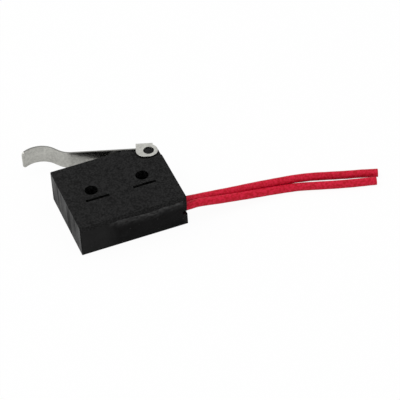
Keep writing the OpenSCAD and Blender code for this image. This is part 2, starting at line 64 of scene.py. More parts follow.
Pair = tuple[float, float]
Point = tuple[float, float, float]
Colour = tuple[float, float, float]
Place = Sequence[float]
Piece = bpy.types.Object
Node = bpy.types.Node
NodeTree = bpy.types.NodeTree
Socket = bpy.types.NodeSocket
Inputs = dict[str | int, object]
PickTest = Callable[[list[Vector]], bool]

MM = 0.001
NEAR = 1e-4
MIDDLE = 0.5
QUARTER_TURN = 90
FULL_TURN = 360
SHARP_EDGE = 35

X_AXIS = Vector((1, 0, 0))
Y_AXIS = Vector((0, 1, 0))
Z_AXIS = Vector((0, 0, 1))

# Sizes in millimetres and degrees that several pieces share
BROKEN_EDGE = 0.04
PLUNGER_REACH = 5.55
LEVER_REST = 19.5

# Front border of the resin on the base, as X and Z in millimetres
RESIN_BORDER: tuple[Pair, ...] = (
    (-9.9, 5.5), (-5.7, 5.4), (-4.3, 5.47), (-2.8, 5.55), (-1.5, 5.5), (0, 5.38), (1.3, 5.3),
    (2.9, 5.15), (4.3, 5), (4.8, 5.45), (5.9, 5.46), (7.5, 5.35), (8.7, 5.5), (9.9, 5.62),
)

# Routes of the leads in millimetres, from the stripped end inside the resin to the cut end
COM_ROUTE: tuple[Point, ...] = (
    (5, -5.95, 3.2), (9.9, -5.95, 3.2), (12.5, -5.98, 2.96), (16, -6.04, 2.58), (19, -6.1, 2.23),
    (22, -6.2, 1.98), (25, -6.4, 1.78), (28, -6.67, 1.6), (31, -7.04, 1.47), (34, -7.56, 1.24),
    (37, -8.28, 0.96), (40, -9.12, 0.77), (42.5, -9.92, 0.77), (45.4, -10.97, 0.77),
)
NO_ROUTE: tuple[Point, ...] = (
    (-0.8, -7.47, 3.2), (4.5, -7.47, 3.2), (9.9, -7.47, 3.2), (12.5, -7.49, 3.18),
    (16, -7.56, 2.56), (19, -7.61, 2.07), (22, -7.69, 1.6), (25, -7.83, 1.24), (28, -8.06, 0.93),
    (31, -8.58, 0.79), (34, -9.58, 0.77), (37, -10.63, 0.77), (40, -11.58, 0.77),
    (42.5, -12.28, 0.77), (44.3, -12.78, 0.77),
)


class Body(Enum):
    """Bodies of the frame that new pieces ride on."""

    SWITCH = "switch_body"
    LEVER = "lever_body"
    PLUNGER = "plunger_body"


class Slot(Enum):
    """Material slots of the record, named for the new pieces."""

    CASE = "case"
    POTTING = "potting"
    LEVER = "lever"
    PLUNGER = "plunger"
    CONDUCTOR = "conductor"
    LEAD = "lead"


class Pick(Enum):
    """Kinds of mesh element that are selected in edit mode."""

    EDGES = "EDGE"
    FACES = "FACE"


class Step(Enum):
    """Ways in which tools work on a piece."""

    CUT = "DIFFERENCE"
    JOIN = "UNION"
    KEEP = "INTERSECT"


class Maths(Enum):
    """Ways to work out a value from one or two others."""

    ADD = "ADD"
    SUBTRACT = "SUBTRACT"
    MULTIPLY = "MULTIPLY"
    POWER = "POWER"
    ABSOLUTE = "ABSOLUTE"
    LARGER = "MAXIMUM"
    BELOW = "LESS_THAN"
    ABOVE = "GREATER_THAN"


class SocketKind(Enum):
    """Kinds of socket on a shared effect."""

    VECTOR = "NodeSocketVector"
    VALUE = "NodeSocketFloat"
    COLOUR = "NodeSocketColor"


# Numbers of the Mix node's sockets for colours, because its other kinds use the same names
MIX_FIRST = 6
MIX_SECOND = 7
MIX_RESULT = 2

# Sockets of the shared effects that carry more than a value
SOCKET_KINDS: dict[str, SocketKind] = {
    "Vector": SocketKind.VECTOR,
    "Stretch": SocketKind.VECTOR,
    "Dark": SocketKind.COLOUR,
    "Light": SocketKind.COLOUR,
    "Color": SocketKind.COLOUR,
}


def grey(tone: float) -> Colour:
    """Make a neutral colour."""
    return (tone, tone, tone)


def level_at(*heights: float) -> PickTest:
    """Make a test for edges that lie flat at one of some heights."""
    return lambda ends: any(all(abs(end.z - z) < NEAR for end in ends) for z in heights)


def upright_at(*corners: Pair) -> PickTest:
    """Make a test for edges along Z at some corners of an outline."""
    return lambda ends: any(
        all(math.hypot(end.x - x, end.y - y) < NEAR for end in ends) for x, y in corners
    )


class Workbench:
    """Hand tools of the bench."""

    @staticmethod
    def rest() -> None:
        """Leave edit mode and deselect everything."""
        if bpy.context.mode != "OBJECT":
            bpy.ops.object.mode_set(mode="OBJECT")
        bpy.ops.object.select_all(action="DESELECT")

    @classmethod
    def take(cls, piece: Piece) -> None:
        """Select one piece only and make it active.

        Args:
            piece: Piece to take.
        """
        cls.rest()
        piece.select_set(True)
        bpy.context.view_layer.objects.active = piece

    @staticmethod
    def fix() -> None:
        """Put the place, turn and scale of the active piece into its mesh."""
        bpy.ops.object.transform_apply(location=True, rotation=True, scale=True)

    @classmethod
    def settle(cls, name: str) -> Piece:
        """Name the piece that was just added and put its place into its mesh.

        Args:
            name: Name of the piece.

        Returns:
            The piece.
        """
        piece = bpy.context.object
        piece.name = name
        piece.data.name = name
        cls.fix()
        return piece

    @classmethod
    def box(cls, name: str, low: Place, high: Place) -> Piece:
        """Add a box between two corners.

        Args:
            name: Name of the piece.
            low: Lowest corner.
            high: Highest corner.

        Returns:
            The box.
        """
        cls.rest()
        low, high = Vector(low), Vector(high)
        bpy.ops.mesh.primitive_cube_add(size=1, location=(low + high) / 2)
        bpy.context.object.scale = high - low
        return cls.settle(name)

    @classmethod
    def rod(cls, name: str, start: Place, end: Place, radius: float, sides: int = 64) -> Piece:
        """Add a round rod between two points.

        Args:
            name: Name of the piece.
            start: Middle of the first end.
            end: Middle of the other end.
            radius: Radius of the rod.
            sides: Number of flats round the rod.

        Returns:
            The rod.
        """
        cls.rest()
        start, end = Vector(start), Vector(end)
        way = end - start
        bpy.ops.mesh.primitive_cylinder_add(
            vertices=sides,
            radius=radius,
            depth=way.length,
            location=(start + end) / 2,
            rotation=way.to_track_quat("Z", "Y").to_euler(),
        )
        return cls.settle(name)

    @classmethod
    def leaf(cls, name: str, middle: Place, across: Vector, along: Vector, size: Pair) -> Piece:
        """Add a flat rectangle that the next steps extrude.

        Args:
            name: Name of the piece.
            middle: Middle of the rectangle.
            across: Direction of its first side.
            along: Direction of its second side.
            size: Lengths of the two sides.

        Returns:
            The rectangle.
        """
        cls.rest()
        bpy.ops.mesh.primitive_plane_add(size=1)
        bpy.context.object.scale = (*size, 1)
        piece = cls.settle(name)
        cls.place(piece, middle, across, along)
        return piece

    @classmethod
    def place(cls, piece: Piece, origin: Place, x_way: Vector, y_way: Vector) -> None:
        """Move a piece so that its own X and Y run along two directions.

        Args:
            piece: Piece modelled round the origin.
            origin: New place of its origin.
            x_way: Direction of its X.
            y_way: Direction of its Y.
        """
        cls.take(piece)
        turn = Matrix((x_way, y_way, x_way.cross(y_way))).transposed().to_4x4()
        piece.matrix_world = Matrix.Translation(Vector(origin)) @ turn
        cls.fix()

    @classmethod
    @contextmanager
    def editing(cls, piece: Piece, kind: Pick = Pick.FACES, whole: bool = False) -> Iterator[None]:
        """Open a piece in edit mode, and close it again at the end.

        Args:
            piece: Piece to open.
            kind: Kind of element that is selected.
            whole: Whether all of the piece is selected, and not nothing.

        Yields:
            Nothing.
        """
        cls.take(piece)
        bpy.ops.object.mode_set(mode="EDIT")
        bpy.ops.mesh.select_mode(type=kind.value)
        bpy.ops.mesh.select_all(action="SELECT" if whole else "DESELECT")
        yield
        bpy.ops.object.mode_set(mode="OBJECT")

    @staticmethod
    def pick(piece: Piece, kind: Pick, test: PickTest) -> None:
        """Select the faces or edges of an open piece whose corners pass a test.

        Args:
            piece: Piece in edit mode.
            kind: Kind of element to select.
            test: Says yes or no for a list of corner points.
        """
        shape = bmesh.from_edit_mesh(piece.data)
        for part in shape.faces if kind is Pick.FACES else shape.edges:
            if test([corner.co for corner in part.verts]):
                part.select_set(True)
        shape.select_flush_mode()
        bmesh.update_edit_mesh(piece.data)

    @staticmethod
    def extrude(way: Place) -> None:
        """Pull the selection of an open piece along a direction."""
        bpy.ops.mesh.extrude_region_move(TRANSFORM_OT_translate={"value": tuple(way)})

    @staticmethod
    def spin(centre: Place, axis: Vector, degrees: float, steps: int) -> None:
        """Sweep the selection of an open piece in steps round an axis, right-handed about it."""
        angle = -math.radians(degrees)
        bpy.ops.mesh.spin(steps=steps, angle=angle, center=tuple(centre), axis=tuple(axis))

    @staticmethod
    def merge() -> None:
        """Select all of an open piece and merge its doubled points."""
        bpy.ops.mesh.select_all(action="SELECT")
        bpy.ops.mesh.remove_doubles(threshold=NEAR)

    @classmethod
    def close_up(cls) -> None:
        """Merge doubled points of an open piece and turn its faces outwards."""
        cls.merge()
        bpy.ops.mesh.normals_make_consistent(inside=False)

    @classmethod
    def round_edges(cls, piece: Piece, test: PickTest, radius: float, steps: int) -> None:
        """Round the edges whose two ends pass a test.

        Args:
            piece: Piece to work on.
            test: Says which edges are rounded.
            radius: Radius of the round.
            steps: Number of flats in it.
        """
        with cls.editing(piece, Pick.EDGES):
            cls.pick(piece, Pick.EDGES, test)
            bpy.ops.mesh.bevel(offset=radius, segments=steps, affect="EDGES")

    @classmethod
    def slice_off(cls, piece: Piece, point: Place, outward: Place) -> None:
        """Cut away what lies outside a plane and close the cut.

        Args:
            piece: Piece to work on.
            point: Point on the plane.
            outward: Direction of what is cut away.
        """
        normal = Vector(outward).normalized()
        with cls.editing(piece, whole=True):
            bpy.ops.mesh.bisect(plane_co=tuple(point), plane_no=normal, use_fill=True, clear_outer=True)

    @classmethod
    def modify(cls, piece: Piece, kind: str, **settings: object) -> None:
        """Add a modifier with its settings and apply it.

        Args:
            piece: Piece to work on.
            kind: Type of the modifier.
            settings: Values of its properties.
        """
        cls.take(piece)
        change = piece.modifiers.new(kind.lower(), kind)
        for name, value in settings.items():
            setattr(change, name, value)
        bpy.ops.object.modifier_apply(modifier=change.name)

    @classmethod
    def work(cls, piece: Piece, step: Step, *tools: Piece) -> None:
        """Cut, join or trim a piece with tools, which are used up.

        Args:
            piece: Piece to work on.
            step: What the tools do.
            tools: The tools, in order.
        """
        for tool in tools:
            cls.modify(piece, "BOOLEAN", operation=step.value, solver="EXACT", object=tool)
            bpy.data.objects.remove(tool, do_unlink=True)

    @classmethod
    def ease(cls, piece: Piece, degrees: float) -> None:
        """Break every edge that is sharper than an angle.

        Args:
            piece: Piece to work on.
            degrees: Smallest angle of an edge that is broken.
        """
        cls.modify(
            piece,
            "BEVEL",
            width=BROKEN_EDGE,
            segments=2,
            limit_method="ANGLE",
            angle_limit=math.radians(degrees),
            use_clamp_overlap=False,
        )

    @classmethod
    def finish(cls, piece: Piece, degrees: float) -> None:
        """Bring a piece to metres and shade it smooth between its sharp edges.

        Args:
            piece: Piece in millimetres.
            degrees: Angle above which an edge stays sharp.
        """
        cls.take(piece)
        piece.scale = (MM, MM, MM)
        cls.fix()
        bpy.ops.object.shade_smooth_by_angle(angle=math.radians(degrees))
        cls.modify(piece, "WEIGHTED_NORMAL", keep_sharp=True)


class Sketch:
    """A line drawn point by point in edit mode, which becomes a solid."""

    def __init__(self, name: str, start: Place) -> None:
        """Put the pen down.

        Args:
            name: Name of the piece.
            start: First point of the line, with the height that the sketch lies at.
        """
        Workbench.rest()
        bpy.ops.mesh.primitive_plane_add(size=1, location=tuple(start))
        self.piece = Workbench.settle(name)
        self.pen = Vector(start)
        bpy.ops.object.mode_set(mode="EDIT")
        bpy.ops.mesh.select_mode(type="VERT")
        bpy.ops.mesh.select_all(action="SELECT")
        bpy.ops.mesh.merge(type="CENTER")

    def to(self, *points: Pair) -> "Sketch":
        """Draw straight lines from point to point.

        Args:
            points: X and Y of each point.

        Returns:
            The sketch.
        """
        for x, y in points:
            goal = Vector((x, y, self.pen.z))
            Workbench.extrude(goal - self.pen)
            self.pen = goal
        return self

    def arc(self, x: float, y: float, degrees: float, steps: int) -> "Sketch":
        """Draw an arc round a centre.

        Args:
            x: X of the centre.
            y: Y of the centre.
            degrees: Angle of the arc, positive anticlockwise.
            steps: Number of chords.

        Returns:
            The sketch.
        """
        centre = Vector((x, y, self.pen.z))
        Workbench.spin(centre, Z_AXIS, degrees, steps)
        self.pen = centre + Matrix.Rotation(math.radians(degrees), 3, "Z") @ (self.pen - centre)
        return self

    def solid(self, depth: float) -> Piece:
        """Fill the closed line and pull it up along Z.

        Args:
            depth: Height of the solid.

        Returns:
            The solid.
        """
        Workbench.merge()
        bpy.ops.mesh.edge_face_add()
        Workbench.extrude((0, 0, depth))
        return self.done()

    def turned(self, centre: Place, axis: Vector, steps: int) -> Piece:
        """Turn the line once round an axis, as on a lathe.

        Args:
            centre: Point on the axis.
            axis: Direction of the axis.
            steps: Number of steps round it.

        Returns:
            The turned solid.
        """
        bpy.ops.mesh.select_all(action="SELECT")
        Workbench.spin(centre, axis, FULL_TURN, steps)
        return self.done()

    def done(self) -> Piece:
        """Close the mesh and leave edit mode.

        Returns:
            The piece.
        """
        Workbench.close_up()
        bpy.ops.object.mode_set(mode="OBJECT")
        return self.piece


@dataclass(frozen=True)
class Layout:
    """Places of the frame that several pieces share, in millimetres."""

    low: Vector
    high: Vector
    hole_x: float
    hole_r: float
    pivot: Vector

    @classmethod
    def from_frame(cls) -> "Layout":
        """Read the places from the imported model.

        Returns:
            The layout.
        """
        low, high = (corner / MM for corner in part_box("case"))
        mounts = frame["record"]["mounts"]
        holes = next(mount["dims"] for mount in mounts if mount["name"] == "mounting_holes")
        hinge = next(joint for joint in frame["joints"] if joint["name"] == "lever_hinge")
        return cls(
            low=low,
            high=high,
            hole_x=holes["spacing_x_mm"] / 2,
            hole_r=holes["hole_r_mm"],
            pivot=Vector(hinge["pos_m"]) / MM,
        )

    @property
    def mid_z(self) -> float:
        """Middle of the case's thickness."""
        return (self.low.z + self.high.z) / 2


class Wiring:
    """Node tree of a material, of the world or of a shared effect."""

    def __init__(self, tree: NodeTree) -> None:
        """Start from an empty tree."""
        self.tree = tree
        tree.nodes.clear()

    def add(self, kind: str, inputs: Inputs | None = None, **options: object) -> Node:
        """Add a node, set its options and fill or join its inputs.

        Args:
            kind: Type of the node, without its ShaderNode prefix.
            inputs: Values or sockets by input name or number.
            options: Properties of the node.

        Returns:
            The node.
        """
        node = self.tree.nodes.new(f"ShaderNode{kind}")
        for name, value in options.items():
            setattr(node, name, value)
        for key, value in (inputs or {}).items():
            self.feed(node, key, value)
        return node

    def feed(self, node: Node, key: str | int, value: object) -> None:
        """Join a socket to a node's input, or set the input's own value.

        Args:
            node: Node whose input is fed.
            key: Name or number of the input.
            value: Socket, number, vector or colour.
        """
        socket = node.inputs[key]
        if isinstance(value, Socket):
            self.tree.links.new(value, socket)
        elif socket.type == "RGBA":
            socket.default_value = (*value, 1)
        else:
            socket.default_value = value

    def maths(self, way: Maths, first: object, second: object = 0) -> Socket:
        """Work out a value from one or two others."""
        return self.add("Math", {0: first, 1: second}, operation=way.value).outputs[0]

    def blend(self, amount: object, first: object, second: object) -> Socket:
        """Mix two colours."""
        inputs = {0: amount, MIX_FIRST: first, MIX_SECOND: second}
        return self.add("Mix", inputs, data_type="RGBA").outputs[MIX_RESULT]

    def remap(
        self, value: object, start: object, end: object, low: float = 0, high: float = 1
    ) -> Socket:
        """Map the range from start to end to the range from low to high, and hold it there."""
        ranges = {"From Min": start, "From Max": end, "To Min": low, "To Max": high}
        return self.add("MapRange", {"Value": value, **ranges}).outputs[0]

    def spread(self, mask: Socket, low: float, high: float) -> Socket:
        """Map a mask from nought and one to two other values."""
        return self.remap(mask, 0, 1, low, high)

    def noise(self, where: Socket, scale: object, detail: float, roughness: float = 0.5) -> Socket:
        """Place cloudy noise and give its value."""
        inputs = {"Vector": where, "Scale": scale, "Detail": detail, "Roughness": roughness}
        return self.add("TexNoise", inputs).outputs[0]


class Effects:
    """Shared effects, each built once as a shader node group."""

    def __init__(self) -> None:
        """Build the groups."""
        self.tone = self.uneven_tone()
        self.grain = self.fine_grain()
        self.streaks = self.drawn_streaks()
        self.specks = self.small_specks()

    @staticmethod
    def group(
        name: str, takes: Sequence[str], gives: Sequence[str]
    ) -> tuple[Wiring, bpy.types.NodeOutputs, Node]:
        """Start a group with its sockets.

        Args:
            name: Name of the effect.
            takes: Names of its inputs.
            gives: Names of its outputs.

        Returns:
            The wiring, the sockets that come in and the node that they leave by.
        """
        tree = bpy.data.node_groups.new(name, "ShaderNodeTree")
        for way, sockets in (("INPUT", takes), ("OUTPUT", gives)):
            for socket in sockets:
                kind = SOCKET_KINDS.get(socket, SocketKind.VALUE)
                tree.interface.new_socket(socket, in_out=way, socket_type=kind.value)
        wiring = Wiring(tree)
        return wiring, tree.nodes.new("NodeGroupInput").outputs, tree.nodes.new("NodeGroupOutput")

    @classmethod
    def uneven_tone(cls) -> NodeTree:
        """Make a cloudy change between a dark and a light colour.

        Returns:
            The group.
        """
        takes = ("Vector", "Scale", "Low", "High", "Dark", "Light")
        wiring, taken, given = cls.group("uneven_tone", takes, ("Color", "Mask"))
        clouds = wiring.noise(taken["Vector"], taken["Scale"], detail=5, roughness=0.6)
        mask = wiring.remap(clouds, taken["Low"], taken["High"])
        wiring.feed(given, "Color", wiring.blend(mask, taken["Dark"], taken["Light"]))
        wiring.feed(given, "Mask", mask)
        return wiring.tree

    @classmethod
    def fine_grain(cls) -> NodeTree:
        """Make the fine pits of a spark-eroded mould.

        Returns:
            The group.
        """
        wiring, taken, given = cls.group("fine_grain", ("Vector", "Scale"), ("Height",))
        pits = wiring.noise(taken["Vector"], taken["Scale"], detail=3, roughness=0.7)
        wiring.feed(given, "Height", pits)
        return wiring.tree

    @classmethod
    def drawn_streaks(cls) -> NodeTree:
        """Make streaks along the direction in which the stretch is smallest.

        Returns:
            The group.
        """
        wiring, taken, given = cls.group("drawn_streaks", ("Vector", "Stretch"), ("Mask",))
        factors = {0: taken["Vector"], 1: taken["Stretch"]}
        stretched = wiring.add("VectorMath", factors, operation="MULTIPLY").outputs[0]
        lines = wiring.noise(stretched, 1, detail=4)
        wiring.feed(given, "Mask", wiring.remap(lines, start=0.3, end=0.7))
        return wiring.tree

    @classmethod
    def small_specks(cls) -> NodeTree:
        """Make scattered small spots.

        Returns:
            The group.
        """
        wiring, taken, given = cls.group("small_specks", ("Vector", "Scale", "Size"), ("Mask",))
        cells = wiring.add("TexVoronoi", {"Vector": taken["Vector"], "Scale": taken["Scale"]})
        spot = wiring.remap(cells.outputs["Distance"], 0, taken["Size"], low=1, high=0)
        wiring.feed(given, "Mask", spot)
        return wiring.tree


class Coat(Wiring):
    """Node tree of one material: a shader and the shared effects, on object coordinates."""

    def __init__(self, name: str, effects: Effects) -> None:
        """Start a material.

        Args:
            name: Name of the material.
            effects: Shared effects.
        """
        self.material = bpy.data.materials.new(name)
        self.material.use_nodes = True
        super().__init__(self.material.node_tree)
        self.effects = effects
        self.where = self.add("TexCoord").outputs["Object"]
        self.shader = self.add("BsdfPrincipled")
        surface = self.add("OutputMaterial", {"Surface": self.shader.outputs[0]})
        surface.is_active_output = True

    def turn(self, degrees: float) -> None:
        """Turn the coordinates about Z, so that patterns follow the piece."""
        inputs = {"Vector": self.where, "Rotation": (0, 0, math.radians(degrees))}
        self.where = self.add("Mapping", inputs).outputs[0]

    def axes(self) -> tuple[Socket, Socket]:
        """Give the coordinates along X and Z."""
        x, _, z = self.add("SeparateXYZ", {0: self.where}).outputs
        return x, z

    def paint(self, key: str, value: object) -> None:
        """Feed an input of the shader."""
        self.feed(self.shader, key, value)

    def place(self, effect: NodeTree, **inputs: object) -> bpy.types.NodeOutputs:
        """Place a shared effect with its own values and give its outputs."""
        return self.add("Group", {"Vector": self.where, **inputs}, node_tree=effect).outputs

    def streaks(self, stretch: Point) -> Socket:
        """Place drawn streaks and give their mask."""
        return self.place(self.effects.streaks, Stretch=stretch)["Mask"]

    def specks(self, scale: float, size: float, share: float) -> Socket:
        """Place small specks and give a share of their mask."""
        mask = self.place(self.effects.specks, Scale=scale, Size=size)["Mask"]
        return self.maths(Maths.MULTIPLY, mask, share)


@dataclass(frozen=True)
class Texture:
    """Patterns of a finish: clouds and grain per metre, and a bump whose depth is in metres.

    The tone changes over the softness to either side of the middle of the clouds.
    """

    clouds: float
    softness: float
    grain: float
    strength: float
    depth: float


@dataclass(frozen=True)
class Finish:
    """Base of the finishes: a named material between two tones, with a fine bump.

    Lengths in the finishes are in metres, and stretches are per metre.
    """

    name: str
    dark: Colour
    light: Colour

    texture: ClassVar[Texture]

    def material(self, effects: Effects) -> bpy.types.Material:
        """Build the material.

        Args:
            effects: Shared effects.

        Returns:
            The material.
        """
        coat = Coat(self.name, effects)
        self.wire(coat)
        return coat.material

    def wire(self, coat: Coat) -> None:
        """Join the finish's own nodes to the shader."""
        raise NotImplementedError

    def tone(self, coat: Coat) -> bpy.types.NodeOutputs:
        """Place the cloudy change between the two tones of the finish.

        Args:
            coat: Coat to work on.

        Returns:
            The outputs, with the colour and the mask of the clouds.
        """
        return coat.place(
            coat.effects.tone,
            Scale=self.texture.clouds,
            Low=MIDDLE - self.texture.softness,
            High=MIDDLE + self.texture.softness,
            Dark=self.dark,
            Light=self.light,
        )

    def bump(self, coat: Coat, lines: object = 0) -> None:
        """Raise the grain of the finish on the surface.

        Args:
            coat: Coat to work on.
            lines: Height of lines that are added to the grain.
        """
        grain = coat.place(coat.effects.grain, Scale=self.texture.grain)["Height"]
        height = coat.maths(Maths.ADD, grain, lines)
        inputs = {"Height": height, "Strength": self.texture.strength, "Distance": self.texture.depth}
        coat.paint("Normal", coat.add("Bump", inputs).outputs[0])


@dataclass(frozen=True)
class Moulding(Finish):
    """Moulded plastic with a fine eroded texture and draw lines along Z."""

    smooth: float
    rough: float
    specular: float

    texture: ClassVar[Texture] = Texture(
        clouds=3200, softness=0.05, grain=9000, strength=0.5, depth=1.2e-5
    )
    speck_scale: ClassVar[float] = 1700
    speck_size: ClassVar[float] = 0.2
    speck_share: ClassVar[float] = 0.4
    speck_grey: ClassVar[Colour] = grey(0.05)
    lines: ClassVar[Point] = (1000, 1000, 45)
    line_height: ClassVar[float] = 0.5
    patches: ClassVar[Point] = (450, 450, 160)

    def wire(self, coat: Coat) -> None:
        """Join tone, specks, draw lines and grain.

        Args:
            coat: Coat to work on.
        """
        pale = coat.specks(self.speck_scale, self.speck_size, self.speck_share)
        coat.paint("Base Color", coat.blend(pale, self.tone(coat)["Color"], self.speck_grey))
        lines = coat.streaks(self.lines)
        gloss = coat.maths(Maths.MULTIPLY, lines, coat.streaks(self.patches))
        coat.paint("Roughness", coat.spread(gloss, self.smooth, self.rough))
        coat.paint("Specular IOR Level", self.specular)
        self.bump(coat, coat.maths(Maths.MULTIPLY, lines, self.line_height))


@dataclass(frozen=True)
class CastResin(Finish):
    """Cast resin, blotchy and speckled, with painted light: a paler left end and a highlight along its front
    border.
    """

    speck_and_painted_light_tone: Colour
    specular: float

    texture: ClassVar[Texture] = Texture(clouds=600, softness=0.2, grain=2600, strength=0.4, depth=2e-5)
    smooth: ClassVar[float] = 0.28
    rough: ClassVar[float] = 0.42
    # Painted highlight along the front border: its width, the X over which it rises and how fast it falls off
    highlight_width: ClassVar[float] = 0.0018
    painted_light_start: ClassVar[float] = -0.0055
    painted_light_full: ClassVar[float] = -0.003
    highlight_power: ClassVar[float] = 2
    highlight_breaks: ClassVar[Point] = (1300, 1300, 2200)
    # Painted light: share of pale grey at the left end, fading out over the same X as the highlight rises
    painted_pale_left_share: ClassVar[float] = 0.115
    speck_scale: ClassVar[float] = 900
    speck_size: ClassVar[float] = 0.13
    speck_share: ClassVar[float] = 0.6

    @staticmethod
    def border(coat: Coat, x: Socket) -> Socket:
        """Work out the height of the front border from the place along the case.

        Args:
            coat: Coat to work on.
            x: X in metres.

        Returns:
            Z of the border in metres.
        """
        first, last = RESIN_BORDER[0][0], RESIN_BORDER[-1][0]
        top = max(z for _, z in RESIN_BORDER)
        curve = coat.add("FloatCurve", {"Value": coat.remap(x, first * MM, last * MM)})
        points = curve.mapping.curves[0].points
        for _ in RESIN_BORDER[2:]:
            points.new(MIDDLE, MIDDLE)
        for point, (along, z) in zip(points, RESIN_BORDER):
            point.location = ((along - first) / (last - first), z / top)
            point.handle_type = "VECTOR"
        curve.mapping.update()
        return coat.maths(Maths.MULTIPLY, curve.outputs[0], top * MM)

    def wire(self, coat: Coat) -> None:
        """Join tone, the painted highlight on the border, the painted paler left end, specks and soft waves.

        Args:
            coat: Coat to work on.
        """
        tone = self.tone(coat)
        x, z = coat.axes()
        # Painted highlight along the bead at the front border, broken up by streaks
        away = coat.maths(Maths.ABSOLUTE, coat.maths(Maths.SUBTRACT, z, self.border(coat, x)))
        near = coat.remap(away, 0, self.highlight_width, low=1, high=0)
        along = coat.remap(x, self.painted_light_start, self.painted_light_full)
        edge = coat.maths(Maths.MULTIPLY, coat.maths(Maths.POWER, near, self.highlight_power), along)
        broken_highlight = coat.maths(Maths.MULTIPLY, edge, coat.streaks(self.highlight_breaks))
        # Painted light: the left end of the resin is painted paler
        painted_pale_left = coat.spread(along, self.painted_pale_left_share, 0)
        specks = coat.specks(self.speck_scale, self.speck_size, self.speck_share)
        # Painted highlight and painted paler left end, with the resin's own pale specks
        painted_light_and_specks = coat.maths(Maths.LARGER, coat.maths(Maths.LARGER, broken_highlight, painted_pale_left), specks)
        coat.paint("Base Color", coat.blend(painted_light_and_specks, tone["Color"], self.speck_and_painted_light_tone))
        coat.paint("Roughness", coat.spread(tone["Mask"], self.smooth, self.rough))
        coat.paint("Specular IOR Level", self.specular)
        self.bump(coat)


@dataclass(frozen=True)
class RolledSheet(Finish):
    """Metal sheet or wire with rolling lines along X, turned to follow the piece."""

    smooth: float
    rough: float
    turn: float = 0

    texture: ClassVar[Texture] = Texture(
        clouds=2400, softness=0.14, grain=5000, strength=0.25, depth=4e-6
    )
    lines: ClassVar[Point] = (250, 9000, 9000)

    def colour(self, coat: Coat) -> Socket:
        """Give the cloudy colour all over."""
        return self.tone(coat)["Color"]

    def wire(self, coat: Coat) -> None:
        """Join tone, rolling lines and a light grain.

        Args:
            coat: Coat to work on.
        """
        coat.turn(self.turn)
        lines = coat.streaks(self.lines)
        coat.paint("Base Color", self.colour(coat))
        coat.paint("Metallic", 1)
        coat.paint("Roughness", coat.spread(lines, self.smooth, self.rough))
        self.bump(coat, lines)


@dataclass(frozen=True)
class EdgeDarkenedSheet(RolledSheet):
    """Rolled sheet whose blade is darker along its two long edges."""

    edge_tone: ClassVar[Colour] = (0.22, 0.219, 0.205)
    blade_middle: ClassVar[float] = 0.0032
    blade_half: ClassVar[float] = 0.00177
    blade_end: ClassVar[float] = 0.0034

    def colour(self, coat: Coat) -> Socket:
        """Darken the two long edges of the blade, up to the strap.

        Args:
            coat: Coat to work on.

        Returns:
            The colour.
        """
        x, z = coat.axes()
        away = coat.maths(Maths.ABSOLUTE, coat.maths(Maths.SUBTRACT, z, self.blade_middle))
        outside = coat.maths(Maths.ABOVE, away, self.blade_half)
        ahead = coat.maths(Maths.BELOW, x, self.blade_end)
        edges = coat.maths(Maths.MULTIPLY, outside, ahead)
        return coat.blend(edges, super().colour(coat), self.edge_tone)


@dataclass(frozen=True)
class Insulation(Finish):
    """Extruded lead insulation, mottled and slightly rough."""

    specular: float

    texture: ClassVar[Texture] = Texture(
        clouds=2400, softness=0.1, grain=3500, strength=0.4, depth=1.5e-5
    )
    smooth: ClassVar[float] = 0.42
    rough: ClassVar[float] = 0.6
    lines: ClassVar[Point] = (120, 2200, 2200)

    def wire(self, coat: Coat) -> None:
        """Join tone, lines along the lead and grain.

        Args:
            coat: Coat to work on.
        """
        lines = coat.streaks(self.lines)
        coat.paint("Base Color", self.tone(coat)["Color"])
        coat.paint("Roughness", coat.spread(lines, self.smooth, self.rough))
        coat.paint("Specular IOR Level", self.specular)
        self.bump(coat, lines)


class Coating(Enum):
    """Finishes of the switch."""

    CASE = Moulding("case_plastic", grey(0.0002), grey(0.011), smooth=0.32, rough=0.85, specular=0.087)
    BLOCK = Moulding(
        "block_plastic", (0.02, 0.02, 0.022), (0.035, 0.035, 0.037),
        smooth=0.4, rough=0.55, specular=0.3,
    )
    PLUNGER = Moulding(
        "plunger_plastic", (0.015, 0.015, 0.016), (0.025, 0.025, 0.026),
        smooth=0.3, rough=0.42, specular=0.4,
    )
    SEAL = Moulding("seal_rubber", grey(0.008), grey(0.014), smooth=0.65, rough=0.8, specular=0.2)
    # The resin's pale grey serves its own specks, the painted highlight on its border and its painted paler left
    # end
    RESIN = CastResin("potting_resin", grey(0.0002), grey(0.0035), speck_and_painted_light_tone=grey(0.07), specular=0.07)
    LEVER = EdgeDarkenedSheet(
        "lever_steel", (0.41, 0.408, 0.381), (0.555, 0.552, 0.516),
        smooth=0.1, rough=0.2, turn=LEVER_REST,
    )
    ARM = RolledSheet("arm_alloy", (0.52, 0.33, 0.14), (0.66, 0.45, 0.21), smooth=0.25, rough=0.4)
    CONTACT = RolledSheet("contact_silver", (0.68, 0.68, 0.66), (0.8, 0.8, 0.78), smooth=0.18, rough=0.3)
    SPRING = RolledSheet("spring_wire", grey(0.42), grey(0.56), smooth=0.22, rough=0.35)
    BRASS = RolledSheet("terminal_brass", (0.55, 0.4, 0.16), (0.68, 0.53, 0.25), smooth=0.25, rough=0.4)
    SOLDER = RolledSheet("joint_solder", (0.48, 0.49, 0.51), (0.62, 0.63, 0.65), smooth=0.2, rough=0.35)
    CORE = RolledSheet("core_copper", (0.5, 0.22, 0.1), (0.62, 0.31, 0.15), smooth=0.25, rough=0.4)
    LEAD = Insulation("lead_red", (0.41, 0.002, 0.012), (0.62, 0.011, 0.044), specular=0.15)


# Nodes that keep their own shape, by their finish
NODE_COATINGS: dict[Coating, tuple[str, ...]] = {
    Coating.BLOCK: ("base_block",),
    Coating.RESIN: ("potting",),
    Coating.SEAL: ("plunger_seal",),
    Coating.ARM: ("actuating_arm", "contact_arm"),
    Coating.CONTACT: ("moving_contact", "no_contact"),
    Coating.SPRING: ("toggle_spring",),
    Coating.BRASS: ("nc_stop", "com_terminal", "no_terminal"),
    Coating.SOLDER: ("com_solder", "no_solder"),
    Coating.CORE: ("com_core", "no_core"),
}


